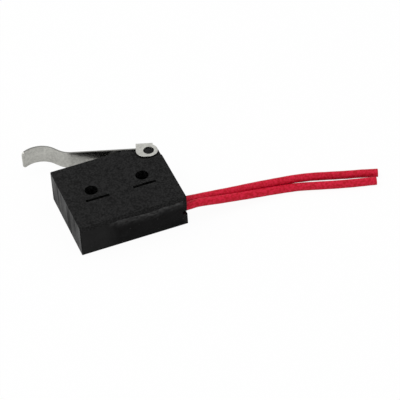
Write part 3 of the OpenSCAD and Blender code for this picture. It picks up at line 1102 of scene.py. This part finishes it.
class Wardrobe:
    """All finishes of the switch, as materials."""

    def __init__(self) -> None:
        """Build every material once."""
        effects = Effects()
        self.materials = {coating: coating.value.material(effects) for coating in Coating}

    def dress(self, piece: Piece, coating: Coating) -> None:
        """Give a piece one finish all over."""
        piece.data.materials.clear()
        piece.data.materials.append(self.materials[coating])

    def complete(
        self,
        piece: Piece,
        coating: Coating,
        body: Body,
        slot: Slot,
        *nodes: str,
        sharp: float = SHARP_EDGE,
    ) -> None:
        """Finish and dress a piece, and let it ride on a body and stand for the nodes it replaces.

        Args:
            piece: Piece in millimetres.
            coating: Its finish.
            body: Body that it rides on.
            slot: Slot of the record; not used.
            nodes: Nodes that it replaces.
            sharp: Angle above which an edge stays sharp.
        """
        Workbench.finish(piece, sharp)
        self.dress(piece, coating)
        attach(piece, body.value)
        if nodes:
            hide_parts(*nodes)
        log.info("piece %s rides on %s, %d faces", piece.name, body.value, len(piece.data.polygons))


@dataclass
class Case:
    """Moulded tub, open at its base, with holes, slits and pockets for the lever's ears."""

    layout: Layout
    flat_top: float = 13.7
    end_drop: float = 1.4
    face_wall: float = 1.1
    end_wall: float = 0.9
    top_wall: float = 1.2
    top_corner: float = 0.25
    top_corner_steps: int = 7
    corner: float = 0.1
    corner_steps: int = 5
    edge_round: float = 0.06
    edge_steps: int = 3
    hole_sides: int = 72
    pillar_wall: float = 0.8
    slit: Point = (4.3, 0.54, 0.8)
    slit_drop: float = 2.35
    slit_shift: float = 0.38
    pocket_depth: float = 0.4
    pocket_r: float = 2.05
    pocket_front: float = 0.65
    pocket_steps: int = 16
    boss_r: float = 0.8
    boss_recess: float = 0.2
    boss_root: float = 0.25
    boss_edge: float = 0.12
    boss_sides: int = 48
    bore_r: float = 1.15
    seal_r: float = 1.75
    seal_height: float = 0.6
    rib_x: Pair = (-7.2, -6.0)
    rib_low: float = 4.105
    lead_r: float = 0.83
    lead_y: float = -5.95
    over: float = 1.0
    eased_angle: float = 40

    @property
    def slope_x(self) -> float:
        """X at which the top starts to slope down."""
        return self.layout.low.x + self.flat_top

    @property
    def slope_out(self) -> Point:
        """Outward direction of the sloping top."""
        return (self.end_drop, self.layout.high.x - self.slope_x, 0)

    @property
    def inner_top(self) -> float:
        """Height of the ceiling inside."""
        return self.layout.high.y - self.top_wall

    def body(self) -> Piece:
        """Model the outside: a block with a sloping top and round corners and edges.

        Returns:
            The block.
        """
        low, high = self.layout.low, self.layout.high
        piece = Workbench.box("case_shell", low, high)
        Workbench.slice_off(piece, (self.slope_x, high.y, 0), self.slope_out)
        others = upright_at((low.x, low.y), (high.x, low.y), (high.x, high.y - self.end_drop))
        for edges, radius, steps in (
            (upright_at((low.x, high.y)), self.top_corner, self.top_corner_steps),
            (others, self.corner, self.corner_steps),
            (level_at(low.z, high.z), self.edge_round, self.edge_steps),
        ):
            Workbench.round_edges(piece, edges, radius, steps)
        return piece

    def cavity(self) -> Piece:
        """Model the space inside, less the tubes round the holes and the rib above the stop.

        Returns:
            The space as a tool.
        """
        low, high = self.layout.low, self.layout.high
        tool = Workbench.box(
            "cavity",
            (low.x + self.end_wall, low.y - self.over, low.z + self.face_wall),
            (high.x - self.end_wall, self.inner_top, high.z - self.face_wall),
        )
        Workbench.slice_off(tool, (self.slope_x, self.inner_top, 0), self.slope_out)
        rib_start, rib_end = self.rib_x
        rib = Workbench.box("rib", (rib_start, self.rib_low, low.z), (rib_end, high.y, high.z))
        pillar_r = self.layout.hole_r + self.pillar_wall
        pillars = [
            Workbench.rod("pillar", (x, 0, low.z), (x, 0, high.z), pillar_r)
            for x in (-self.layout.hole_x, self.layout.hole_x)
        ]
        Workbench.work(tool, Step.CUT, rib, *pillars)
        return tool

    def holes(self) -> list[Piece]:
        """Model the mounting holes and the slits in both faces.

        Returns:
            The tools.
        """
        under, above = self.layout.low.z - self.over, self.layout.high.z + self.over
        length, width, depth = self.slit
        tools = []
        for side in (-1, 1):
            x = side * self.layout.hole_x
            hole_r = self.layout.hole_r
            tools.append(Workbench.rod("hole", (x, 0, under), (x, 0, above), hole_r, self.hole_sides))
            middle = side * (self.layout.hole_x - self.slit_shift)
            for z in (under, self.layout.high.z - depth):
                low = (middle - length / 2, -self.slit_drop - width / 2, z)
                high = (middle + length / 2, -self.slit_drop + width / 2, z + depth + self.over)
                tools.append(Workbench.box("slit", low, high))
        return tools

    def pockets(self) -> list[Piece]:
        """Model the pockets that the ears swing in, open at the top and at the end.

        Returns:
            The tools.
        """
        high, pivot = self.layout.high, self.layout.pivot
        left = pivot.x - self.pocket_front - self.pocket_r
        right, top = high.x + self.over, high.y + self.over
        tools = []
        for z in (self.layout.low.z - self.over, high.z - self.pocket_depth):
            sketch = Sketch("pocket", (left, top, z)).to((left, pivot.y))
            sketch.arc(pivot.x - self.pocket_front, pivot.y, QUARTER_TURN, self.pocket_steps)
            sketch.to((right, pivot.y - self.pocket_r), (right, top), (left, top))
            tools.append(sketch.solid(self.pocket_depth + self.over))
        return tools

    def bosses(self) -> list[Piece]:
        """Model the pivot bosses that stand in the pockets.

        Returns:
            The bosses.
        """
        x, y, _ = self.layout.pivot
        bosses = []
        for end_z, inward in ((self.layout.low.z, 1), (self.layout.high.z, -1)):
            top = end_z + inward * self.boss_recess
            root = end_z + inward * (self.pocket_depth + self.boss_root)
            boss = Workbench.rod("boss", (x, y, root), (x, y, top), self.boss_r, self.boss_sides)
            Workbench.round_edges(boss, level_at(top), self.boss_edge, self.edge_steps)
            bosses.append(boss)
        return bosses

    def passages(self) -> list[Piece]:
        """Model the plunger's bore, the seal's recess and the slot that the leads leave by.

        Returns:
            The tools.
        """
        high, mid_z = self.layout.high, self.layout.mid_z
        x = self.layout.pivot.x - PLUNGER_REACH
        start = (x, self.inner_top - self.over, mid_z)
        seal_top = self.inner_top + self.seal_height
        inside, outside = high.x - self.end_wall - self.over, high.x + self.over
        lead_start, lead_end = (inside, self.lead_y, mid_z), (outside, self.lead_y, mid_z)
        return [
            Workbench.rod("bore", start, (x, high.y + self.over, mid_z), self.bore_r),
            Workbench.rod("seal_recess", start, (x, seal_top, mid_z), self.seal_r),
            Workbench.rod("lead_hole", lead_start, lead_end, self.lead_r),
            Workbench.box(
                "lead_slot",
                (inside, self.layout.low.y - self.over, mid_z - self.lead_r),
                (outside, self.lead_y, mid_z + self.lead_r),
            ),
        ]

    def build(self, wardrobe: Wardrobe) -> None:
        """Model the case and let it stand for the node.

        Args:
            wardrobe: Finishes.
        """
        piece = self.body()
        Workbench.work(piece, Step.CUT, self.cavity(), *self.holes(), *self.pockets(), *self.passages())
        Workbench.work(piece, Step.JOIN, *self.bosses())
        Workbench.ease(piece, self.eased_angle)
        wardrobe.complete(piece, Coating.CASE, Body.SWITCH, Slot.CASE, "case")


@dataclass
class Lever:
    """One folded sheet: two ears on the bosses, a strap over the case and a curled blade.

    It is modelled with its pivot on the Z axis and its blade along X, and then turned to rest.
    """

    layout: Layout
    sheet: float = 0.3
    blade_width: float = 3.6
    blade_lift: float = 1.95
    blade_root: float = 0.5
    bend_start: float = 14
    bend_r: float = 4
    bend_steps: int = 14
    rise: float = 36
    rise_run: float = 1.1
    curl_r: float = 4
    curl_drop: float = 55
    curl_steps: int = 36
    tip_corner: float = 0.6
    tip_steps: int = 8
    ear_r: float = 1.65
    ear_straight: float = 0.65
    ear_front_steps: int = 16
    ear_back_steps: int = 28
    ear_hole_r: float = 0.96
    ear_hole_sides: int = 56
    ear_play: float = 0.05
    strap_back: float = 0.75
    fold_r: float = 0.5
    fold_steps: int = 8
    over: float = 0.75
    eased_angle: float = 50

    @property
    def ear_front(self) -> float:
        """Distance from the pivot to the front of the ears and the strap."""
        return self.ear_r + self.ear_straight

    @property
    def blade_mid(self) -> float:
        """Distance from the pivot to the middle of the blade's sheet."""
        return self.blade_lift + self.sheet / 2

    @property
    def run(self) -> Vector:
        """Way that the blade runs straight between its bend and its curl."""
        rise = math.radians(self.rise)
        return Vector((-math.cos(rise), math.sin(rise), 0)) * self.rise_run

    @property
    def curl_centre(self) -> Vector:
        """Centre of the curl.

        Returns:
            The centre.
        """
        rise = math.radians(self.rise)
        bend_end = Vector((-math.sin(rise), 1 - math.cos(rise), 0)) * self.bend_r
        down = Vector((-math.sin(rise), -math.cos(rise), 0)) * self.curl_r
        return Vector((-self.bend_start, self.blade_mid, self.layout.mid_z)) + bend_end + self.run + down

    def blade(self) -> Piece:
        """Model the strip with its bend and curl.

        Returns:
            The blade.
        """
        start = self.blade_root - self.ear_front
        middle = (start, self.blade_mid, self.layout.mid_z)
        bend_centre = (-self.bend_start, self.blade_mid + self.bend_r, self.layout.mid_z)
        piece = Workbench.leaf("lever_sheet", middle, Z_AXIS, Y_AXIS, (self.blade_width, self.sheet))
        with Workbench.editing(piece, whole=True):
            Workbench.extrude((-self.bend_start - start, 0, 0))
            Workbench.spin(bend_centre, Z_AXIS, -self.rise, self.bend_steps)
            Workbench.extrude(self.run)
            Workbench.spin(self.curl_centre, Z_AXIS, self.rise + self.curl_drop, self.curl_steps)
            Workbench.close_up()
        return piece

    def tip_corners(self) -> list[Piece]:
        """Model what is cut off to round the two corners at the tip.

        Returns:
            The tools.
        """
        corner, over = self.tip_corner, self.over
        end = math.radians(QUARTER_TURN + self.curl_drop)
        tip = self.curl_centre + self.curl_r * Vector((math.cos(end), math.sin(end), 0))
        ahead = Vector((-math.sin(end), math.cos(end), 0))
        tools = []
        for side in (-1, 1):
            sketch = Sketch("corner", (-corner, -over, -over))
            sketch.to((over, -over), (over, corner), (0, corner))
            sketch.arc(-corner, corner, -QUARTER_TURN, self.tip_steps).to((-corner, -over))
            tool = sketch.solid(2 * over)
            Workbench.place(tool, tip + side * self.blade_width / 2 * Z_AXIS, ahead, -side * Z_AXIS)
            tools.append(tool)
        return tools

    def channel(self) -> Piece:
        """Model the folded channel that the strap and both ears are cut from.

        Returns:
            The channel.
        """
        low = self.layout.low.z + self.ear_play
        high = self.layout.high.z - self.ear_play
        fold_y = self.blade_lift + self.sheet - self.fold_r
        foot = -self.ear_r - self.over
        length = self.ear_front + self.ear_r + 2 * self.over
        middle = ((self.ear_r - self.ear_front) / 2, foot, low + self.sheet / 2)
        piece = Workbench.leaf("channel", middle, X_AXIS, -Z_AXIS, (length, self.sheet))
        with Workbench.editing(piece, whole=True):
            Workbench.extrude((0, fold_y - foot, 0))
            Workbench.spin((0, fold_y, low + self.fold_r), X_AXIS, QUARTER_TURN, self.fold_steps)
            Workbench.extrude((0, 0, high - low - 2 * self.fold_r))
            Workbench.spin((0, fold_y, high - self.fold_r), X_AXIS, QUARTER_TURN, self.fold_steps)
            Workbench.extrude((0, foot - fold_y, 0))
            Workbench.close_up()
        return piece

    def ear_outline(self) -> Piece:
        """Model the side view of an ear and the strap above it, right through the thickness.

        Returns:
            The outline as a tool.
        """
        low_z, high_z = self.layout.low.z - self.over, self.layout.high.z + self.over
        front, above = -self.ear_front, self.blade_lift + self.sheet + self.over
        shoulder = math.degrees(math.acos(self.strap_back / self.ear_r))
        sketch = Sketch("ear_outline", (front, above, low_z)).to((front, 0))
        sketch.arc(-self.ear_straight, 0, QUARTER_TURN, self.ear_front_steps).to((0, -self.ear_r))
        sketch.arc(0, 0, QUARTER_TURN + shoulder, self.ear_back_steps)
        sketch.to((self.strap_back, above), (front, above))
        return sketch.solid(high_z - low_z)

    def build(self, wardrobe: Wardrobe) -> None:
        """Model the lever at rest and let it stand for the node.

        Args:
            wardrobe: Finishes.
        """
        piece = self.blade()
        Workbench.work(piece, Step.CUT, *self.tip_corners())
        channel = self.channel()
        Workbench.work(channel, Step.KEEP, self.ear_outline())
        Workbench.work(piece, Step.JOIN, channel)
        start, end = (0, 0, -self.over), (0, 0, self.layout.high.z + self.over)
        hole = Workbench.rod("ear_hole", start, end, self.ear_hole_r, self.ear_hole_sides)
        Workbench.work(piece, Step.CUT, hole)
        Workbench.ease(piece, self.eased_angle)
        turn = Matrix.Rotation(-math.radians(LEVER_REST), 3, "Z")
        pivot = (self.layout.pivot.x, self.layout.pivot.y, 0)
        Workbench.place(piece, pivot, turn @ X_AXIS, turn @ Y_AXIS)
        wardrobe.complete(piece, Coating.LEVER, Body.LEVER, Slot.LEVER, "lever")


@dataclass
class Plunger:
    """Round-headed pin with a stop flange and a round lower tip."""

    layout: Layout
    stem_r: float = 1.1
    head_steps: int = 10
    flange_r: float = 1.25
    flange_thickness: float = 0.3
    flange_top: float = 6.2
    tip_r: float = 0.6
    tip_steps: int = 8
    lathe_steps: int = 48
    eased_angle: float = 50

    def build(self, wardrobe: Wardrobe) -> None:
        """Turn the pin and let it stand for the node.

        Args:
            wardrobe: Finishes.
        """
        low, high = (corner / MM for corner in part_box("plunger"))
        x, mid_z = self.layout.pivot.x - PLUNGER_REACH, self.layout.mid_z
        tip_y, head_y = low.y + self.tip_r, high.y - self.stem_r
        flange_low = self.flange_top - self.flange_thickness
        flange_x, stem_x = x + self.flange_r, x + self.stem_r
        meets = math.degrees(math.asin((flange_low - tip_y) / self.tip_r))
        sketch = Sketch("plunger_pin", (x, low.y, mid_z))
        sketch.arc(x, tip_y, QUARTER_TURN + meets, self.tip_steps)
        sketch.to((flange_x, flange_low), (flange_x, self.flange_top))
        sketch.to((stem_x, self.flange_top), (stem_x, head_y))
        sketch.arc(x, head_y, QUARTER_TURN, self.head_steps)
        piece = sketch.turned((x, 0, mid_z), Y_AXIS, self.lathe_steps)
        Workbench.ease(piece, self.eased_angle)
        wardrobe.complete(piece, Coating.PLUNGER, Body.PLUNGER, Slot.PLUNGER, "plunger")


@dataclass
class ResinSkin:
    """Uneven skin of resin that covers the base, with a ragged bead along its front border.

    The swell, the ripple and the ragged border each have the size of their clouds and a height.
    """

    layout: Layout
    left_margin: float = 0.15
    right_margin: float = 0.75
    back_margin: float = 0.14
    height: float = 0.05
    thickness: float = 0.1
    bead_width: float = 0.4
    bead_height: float = 0.08
    bead_group: str = "bead"
    bulge: float = 0.16
    bulge_powers: tuple[int, int] = (4, 2)
    bead_start: float = -5.6
    bead_full: float = -2.5
    fade_width: float = 1.4
    fade_depth: float = 0.09
    lip_width: float = 0.22
    lip_depth: float = 0.13
    gap_x: float = 9.0
    gap_z: Pair = (2.42, 3.05)
    cells: tuple[int, int] = (190, 56)
    swell: Pair = (3.0, 0.05)
    ripple: Pair = (0.7, 0.04)
    ragged: Pair = (0.6, 0.2)
    cloud_depth: int = 2
    over: float = 1.0
    sharp: float = 50

    @staticmethod
    def border(x: float) -> float:
        """Find the height of the front border at a place along the case.

        Args:
            x: Place along the case.

        Returns:
            Z of the border.
        """
        for (left, left_z), (right, right_z) in zip(RESIN_BORDER, RESIN_BORDER[1:]):
            if x <= right:
                return left_z + (right_z - left_z) * (x - left) / (right - left)
        return RESIN_BORDER[-1][1]

    def risen(self, x: float) -> float:
        """Say how far the bead has risen at a place along the case, from nought to one."""
        return min(1.0, max(0.0, (x - self.bead_start) / (self.bead_full - self.bead_start)))

    def sheet(self) -> Piece:
        """Lay a fine grid over the base, up to the front border.

        Returns:
            The grid.
        """
        low = self.layout.low
        left, right = low.x + self.left_margin, self.layout.high.x - self.right_margin
        back = low.z + self.back_margin
        columns, rows = self.cells
        along_power, up_power = self.bulge_powers
        Workbench.rest()
        bpy.ops.mesh.primitive_grid_add(x_subdivisions=columns, y_subdivisions=rows, size=1)
        bpy.context.object.scale = (right - left, 1, 1)
        piece = Workbench.settle("resin_skin")
        # The grid stands from nought to one along Z until its points move to their own heights
        Workbench.place(piece, ((left + right) / 2, low.y - self.height, MIDDLE), X_AXIS, Z_AXIS)
        for point in (corner.co for corner in piece.data.vertices):
            along = 2 * (point.x - left) / (right - left) - 1
            up = 2 * point.z - 1
            point.y -= self.bulge * (1 - along**along_power) * (1 - up**up_power)
            border, risen = self.border(point.x), self.risen(point.x)
            room = (1 - point.z) * (border - back)
            sunk = (1 - risen) * max(0.0, 1 - room / self.fade_width)
            lip = risen * max(0.0, 1 - room / self.lip_width)
            point.y += sunk * self.fade_depth + lip * self.lip_depth
            point.z = border - room
        return piece

    def unevenness(self, piece: Piece) -> None:
        """Swell and ripple the sheet, and raise a ragged bead along its front border.

        Args:
            piece: Grid over the base.
        """
        bead = piece.vertex_groups.new(name=self.bead_group)
        for corner in piece.data.vertices:
            near = 1 - (self.border(corner.co.x) - corner.co.z) / self.bead_width
            if near > 0:
                weight = math.sin(near * math.pi / 2) * self.risen(corner.co.x)
                bead.add([corner.index], weight, "REPLACE")
        bead_only = {"mid_level": 0, "vertex_group": self.bead_group}
        Workbench.modify(piece, "DISPLACE", strength=self.bead_height, **bead_only)
        for name, (scale, height), way, group in (
            ("swell", self.swell, "NORMAL", ""),
            ("ripple", self.ripple, "NORMAL", ""),
            ("ragged", self.ragged, "Z", self.bead_group),
        ):
            clouds = bpy.data.textures.new(name, "CLOUDS")
            clouds.noise_scale = scale
            clouds.noise_depth = self.cloud_depth
            Workbench.modify(
                piece,
                "DISPLACE",
                texture=clouds,
                texture_coords="LOCAL",
                strength=height,
                mid_level=MIDDLE,
                direction=way,
                vertex_group=group,
            )

    def build(self, wardrobe: Wardrobe) -> None:
        """Model the skin and let it ride on the case.

        Args:
            wardrobe: Finishes.
        """
        piece = self.sheet()
        self.unevenness(piece)
        Workbench.modify(piece, "SOLIDIFY", thickness=self.thickness, offset=-1)
        end_x, base_y = self.layout.high.x + self.over, self.layout.low.y
        gap_low, gap_high = self.gap_z
        gap = Workbench.box(
            "gap", (self.gap_x, base_y - self.over, gap_low), (end_x, base_y + self.over, gap_high)
        )
        Workbench.work(piece, Step.CUT, gap)
        wardrobe.complete(piece, Coating.RESIN, Body.SWITCH, Slot.POTTING, sharp=self.sharp)


@dataclass
class Lead:
    """One red lead with its insulation, cut square, and the strands in its cut end."""

    layout: Layout
    name: str
    node: str
    route: tuple[Point, ...]
    diameter: float = 1.5
    roundness: int = 6
    waver: float = 0.008
    waver_pace: float = 0.9
    wall: float = 0.34
    cut_depth: float = 1.0
    cut_play: float = 0.01
    strand_r: float = 0.115
    strand_sides: int = 14
    strand_edge_part: int = 3
    strand_edge_steps: int = 2
    strand_gap: float = 0.24
    strand_recess: float = 0.12
    strand_step: float = 0.03
    strand_levels: int = 3
    outer_strands: int = 6
    steps: int = 8
    sharp: float = 45
    line: list[Vector] = field(default_factory=list)

    def trace(self) -> None:
        """Run one smooth curve through the route, with a cubic from each point to the next."""
        points = [Vector(point) for point in self.route]
        ends = [2 * points[0] - points[1], *points, 2 * points[-1] - points[-2]]
        for before, start, end, after in zip(ends, ends[1:], ends[2:], ends[3:]):
            slope = end - before
            bend = 2 * before - 5 * start + 4 * end - after
            twist = 3 * start - before - 3 * end + after
            for share in (step / self.steps for step in range(self.steps)):
                place = 2 * start + slope * share + bend * share * share + twist * share**3
                self.line.append(place / 2)
        self.line.append(points[-1])

    @property
    def way_out(self) -> Vector:
        """Direction in which the cut end points."""
        return (self.line[-1] - self.line[-2]).normalized()

    def insulation(self) -> Piece:
        """Model the tube along the route, hollow at its cut end.

        Returns:
            The tube.
        """
        curve = bpy.data.curves.new(f"{self.name}_insulation", "CURVE")
        curve.dimensions = "3D"
        curve.bevel_depth = self.diameter / 2
        curve.bevel_resolution = self.roundness
        curve.use_fill_caps = True
        spline = curve.splines.new("POLY")
        spline.points.add(len(self.line) - 1)
        for index, (knot, place) in enumerate(zip(spline.points, self.line)):
            knot.co = (*place, 1)
            knot.radius = 1 - self.waver * (1 + math.sin(index * self.waver_pace))
        piece = bpy.data.objects.new(curve.name, curve)
        bpy.context.scene.collection.objects.link(piece)
        Workbench.take(piece)
        bpy.ops.object.convert(target="MESH")
        piece = bpy.context.object
        end, out = self.line[-1], self.way_out

        def at_cut(corners: list[Vector]) -> bool:
            """Say whether a face lies in the cut."""
            return all(abs((corner - end).dot(out)) < self.cut_play for corner in corners)

        with Workbench.editing(piece):
            Workbench.close_up()
            bpy.ops.mesh.select_all(action="DESELECT")
            Workbench.pick(piece, Pick.FACES, at_cut)
            bpy.ops.mesh.inset(thickness=self.wall)
            Workbench.extrude(-self.cut_depth * out)
        return piece

    def strands(self) -> Piece:
        """Model one strand and lay copies of it round the first.

        Returns:
            The bundle.
        """
        foot = (0, 0, self.strand_recess - self.cut_depth)
        name = f"{self.name}_strands"
        bundle = Workbench.rod(name, foot, (0, 0, 0), self.strand_r, self.strand_sides)
        edge = self.strand_r / self.strand_edge_part
        Workbench.round_edges(bundle, level_at(0), edge, self.strand_edge_steps)
        copies = []
        for index in range(self.outer_strands):
            Workbench.take(bundle)
            bpy.ops.object.duplicate(linked=False)
            angle = math.radians(FULL_TURN / self.outer_strands * index)
            aside = self.strand_gap * Vector((math.cos(angle), math.sin(angle), 0))
            back = self.strand_step * (index % self.strand_levels)
            bpy.context.object.location = aside - back * Z_AXIS
            copies.append(Workbench.settle(f"strand_{index}"))
        Workbench.take(bundle)
        for copy in copies:
            copy.select_set(True)
        bpy.ops.object.join()
        out = self.way_out
        side = out.cross(Z_AXIS).normalized()
        Workbench.place(bundle, self.line[-1] - self.strand_recess * out, side, out.cross(side))
        return bundle

    def build(self, wardrobe: Wardrobe) -> None:
        """Args:
            wardrobe: Finishes.
        """
        self.trace()
        strands = self.strands()
        wardrobe.complete(strands, Coating.CORE, Body.SWITCH, Slot.CONDUCTOR)
        tube = self.insulation()
        wardrobe.complete(tube, Coating.LEAD, Body.SWITCH, Slot.LEAD, self.node, sharp=self.sharp)


@dataclass
class Studio:
    """Pale floor, soft light and the camera at the photograph's angle.

    Lengths are in metres, but the eye, the lens and the sensor of the camera are in millimetres.
    """

    floor_size: float = 6.0
    floor_gap: float = 5e-5
    floor_tone: Colour = grey(0.87)
    paper_white: float = 0.95
    paper_gloss: float = 0.06
    white: Colour = grey(1)
    ambient: float = 0.8
    lamp_place: Point = (-0.3, 0.1, 0.6)
    lamp_size: float = 0.5
    lamp_power: float = 1.6
    azimuth: float = 19.04
    elevation: float = 42.9
    roll: float = -3.59
    eye: Point = (-79.82, -275.52, 267.19)
    lens: float = 198.36
    sensor: float = 36

    @staticmethod
    def seen(wiring: Wiring, gloss: float) -> Socket:
        """Make a mask for rays from the camera, and from gloss and glass.

        Args:
            wiring: Node tree of the floor or the world.
            gloss: Value for rays from gloss.

        Returns:
            One for rays from the camera and from glass, gloss for rays from gloss, else nought.
        """
        path = wiring.add("LightPath").outputs
        shiny = wiring.maths(Maths.MULTIPLY, path["Is Glossy Ray"], gloss)
        clear = wiring.maths(Maths.LARGER, path["Is Camera Ray"], path["Is Transmission Ray"])
        return wiring.maths(Maths.LARGER, clear, shiny)

    def floor(self) -> None:
        """Lay the floor just under the switch."""
        Workbench.rest()
        bpy.ops.mesh.primitive_plane_add(size=self.floor_size, location=(0, 0, -self.floor_gap))
        floor = Workbench.settle("floor")
        material = bpy.data.materials.new("floor_paper")
        material.use_nodes = True
        wiring = Wiring(material.node_tree)
        paper = wiring.add("BsdfDiffuse", {"Color": self.floor_tone})
        white = wiring.add("Emission", {"Color": self.white, "Strength": 1})
        share = wiring.maths(Maths.MULTIPLY, self.seen(wiring, self.paper_gloss), self.paper_white)
        mixed = wiring.add("MixShader", {0: share, 1: paper.outputs[0], 2: white.outputs[0]})
        wiring.add("OutputMaterial", {"Surface": mixed.outputs[0]})
        floor.data.materials.append(material)

    def world(self) -> None:
        """Fill the room with soft light, white where it is seen."""
        world = bpy.data.worlds.new("soft_room")
        bpy.context.scene.world = world
        world.use_nodes = True
        wiring = Wiring(world.node_tree)
        soft = wiring.add("Background", {"Color": self.white, "Strength": self.ambient})
        white = wiring.add("Background", {"Color": self.white, "Strength": 1})
        share = self.seen(wiring, gloss=1)
        mixed = wiring.add("MixShader", {0: share, 1: soft.outputs[0], 2: white.outputs[0]})
        wiring.add("OutputWorld", {"Surface": mixed.outputs[0]})

    def lamp(self) -> None:
        """Hang one soft box high up on the left, a little behind the switch."""
        Workbench.rest()
        place = Vector(self.lamp_place)
        aim = (-place).to_track_quat("-Z", "Y").to_euler()
        bpy.ops.object.light_add(type="AREA", location=place, rotation=aim)
        lamp = bpy.context.object
        lamp.name = "soft_box"
        lamp.data.energy = self.lamp_power
        lamp.data.size = self.lamp_size

    def camera(self) -> None:
        """Set the camera at the photograph's viewing angle."""
        turn, lift, roll = map(math.radians, (self.azimuth, self.elevation, self.roll))
        flat = math.cos(lift)
        ahead = Vector((math.sin(turn) * flat, math.cos(turn) * flat, -math.sin(lift)))
        level = Vector((math.cos(turn), -math.sin(turn), 0))
        right = math.cos(roll) * level + math.sin(roll) * level.cross(ahead)
        pose = Matrix((right, right.cross(ahead), -ahead)).transposed().to_4x4()
        pose.translation = Vector(self.eye) * MM
        Workbench.rest()
        bpy.ops.object.camera_add()
        camera = bpy.context.object
        camera.name = "photo_camera"
        camera.matrix_world = pose
        camera.data.lens = self.lens
        camera.data.sensor_width = self.sensor
        bpy.context.scene.camera = camera

    def build(self) -> None:
        """Set up the whole studio."""
        bpy.context.scene.view_settings.view_transform = "Standard"
        self.camera()
        self.floor()
        self.world()
        self.lamp()


def main() -> None:
    """Build every piece in order."""
    logging.basicConfig(level=logging.INFO, format="%(name)s: %(message)s")
    layout = Layout.from_frame()
    Studio().build()
    wardrobe = Wardrobe()
    Lead(layout, "com", "com_lead", COM_ROUTE).build(wardrobe)
    Lead(layout, "no", "no_lead", NO_ROUTE).build(wardrobe)
    Case(layout).build(wardrobe)
    Lever(layout).build(wardrobe)
    Plunger(layout).build(wardrobe)
    ResinSkin(layout).build(wardrobe)
    for coating, nodes in NODE_COATINGS.items():
        for node in nodes:
            wardrobe.dress(frame["nodes"][node], coating)
            log.info("node %s keeps its shape in %s", node, coating.value.name)


if __name__ == "__main__":
    main()
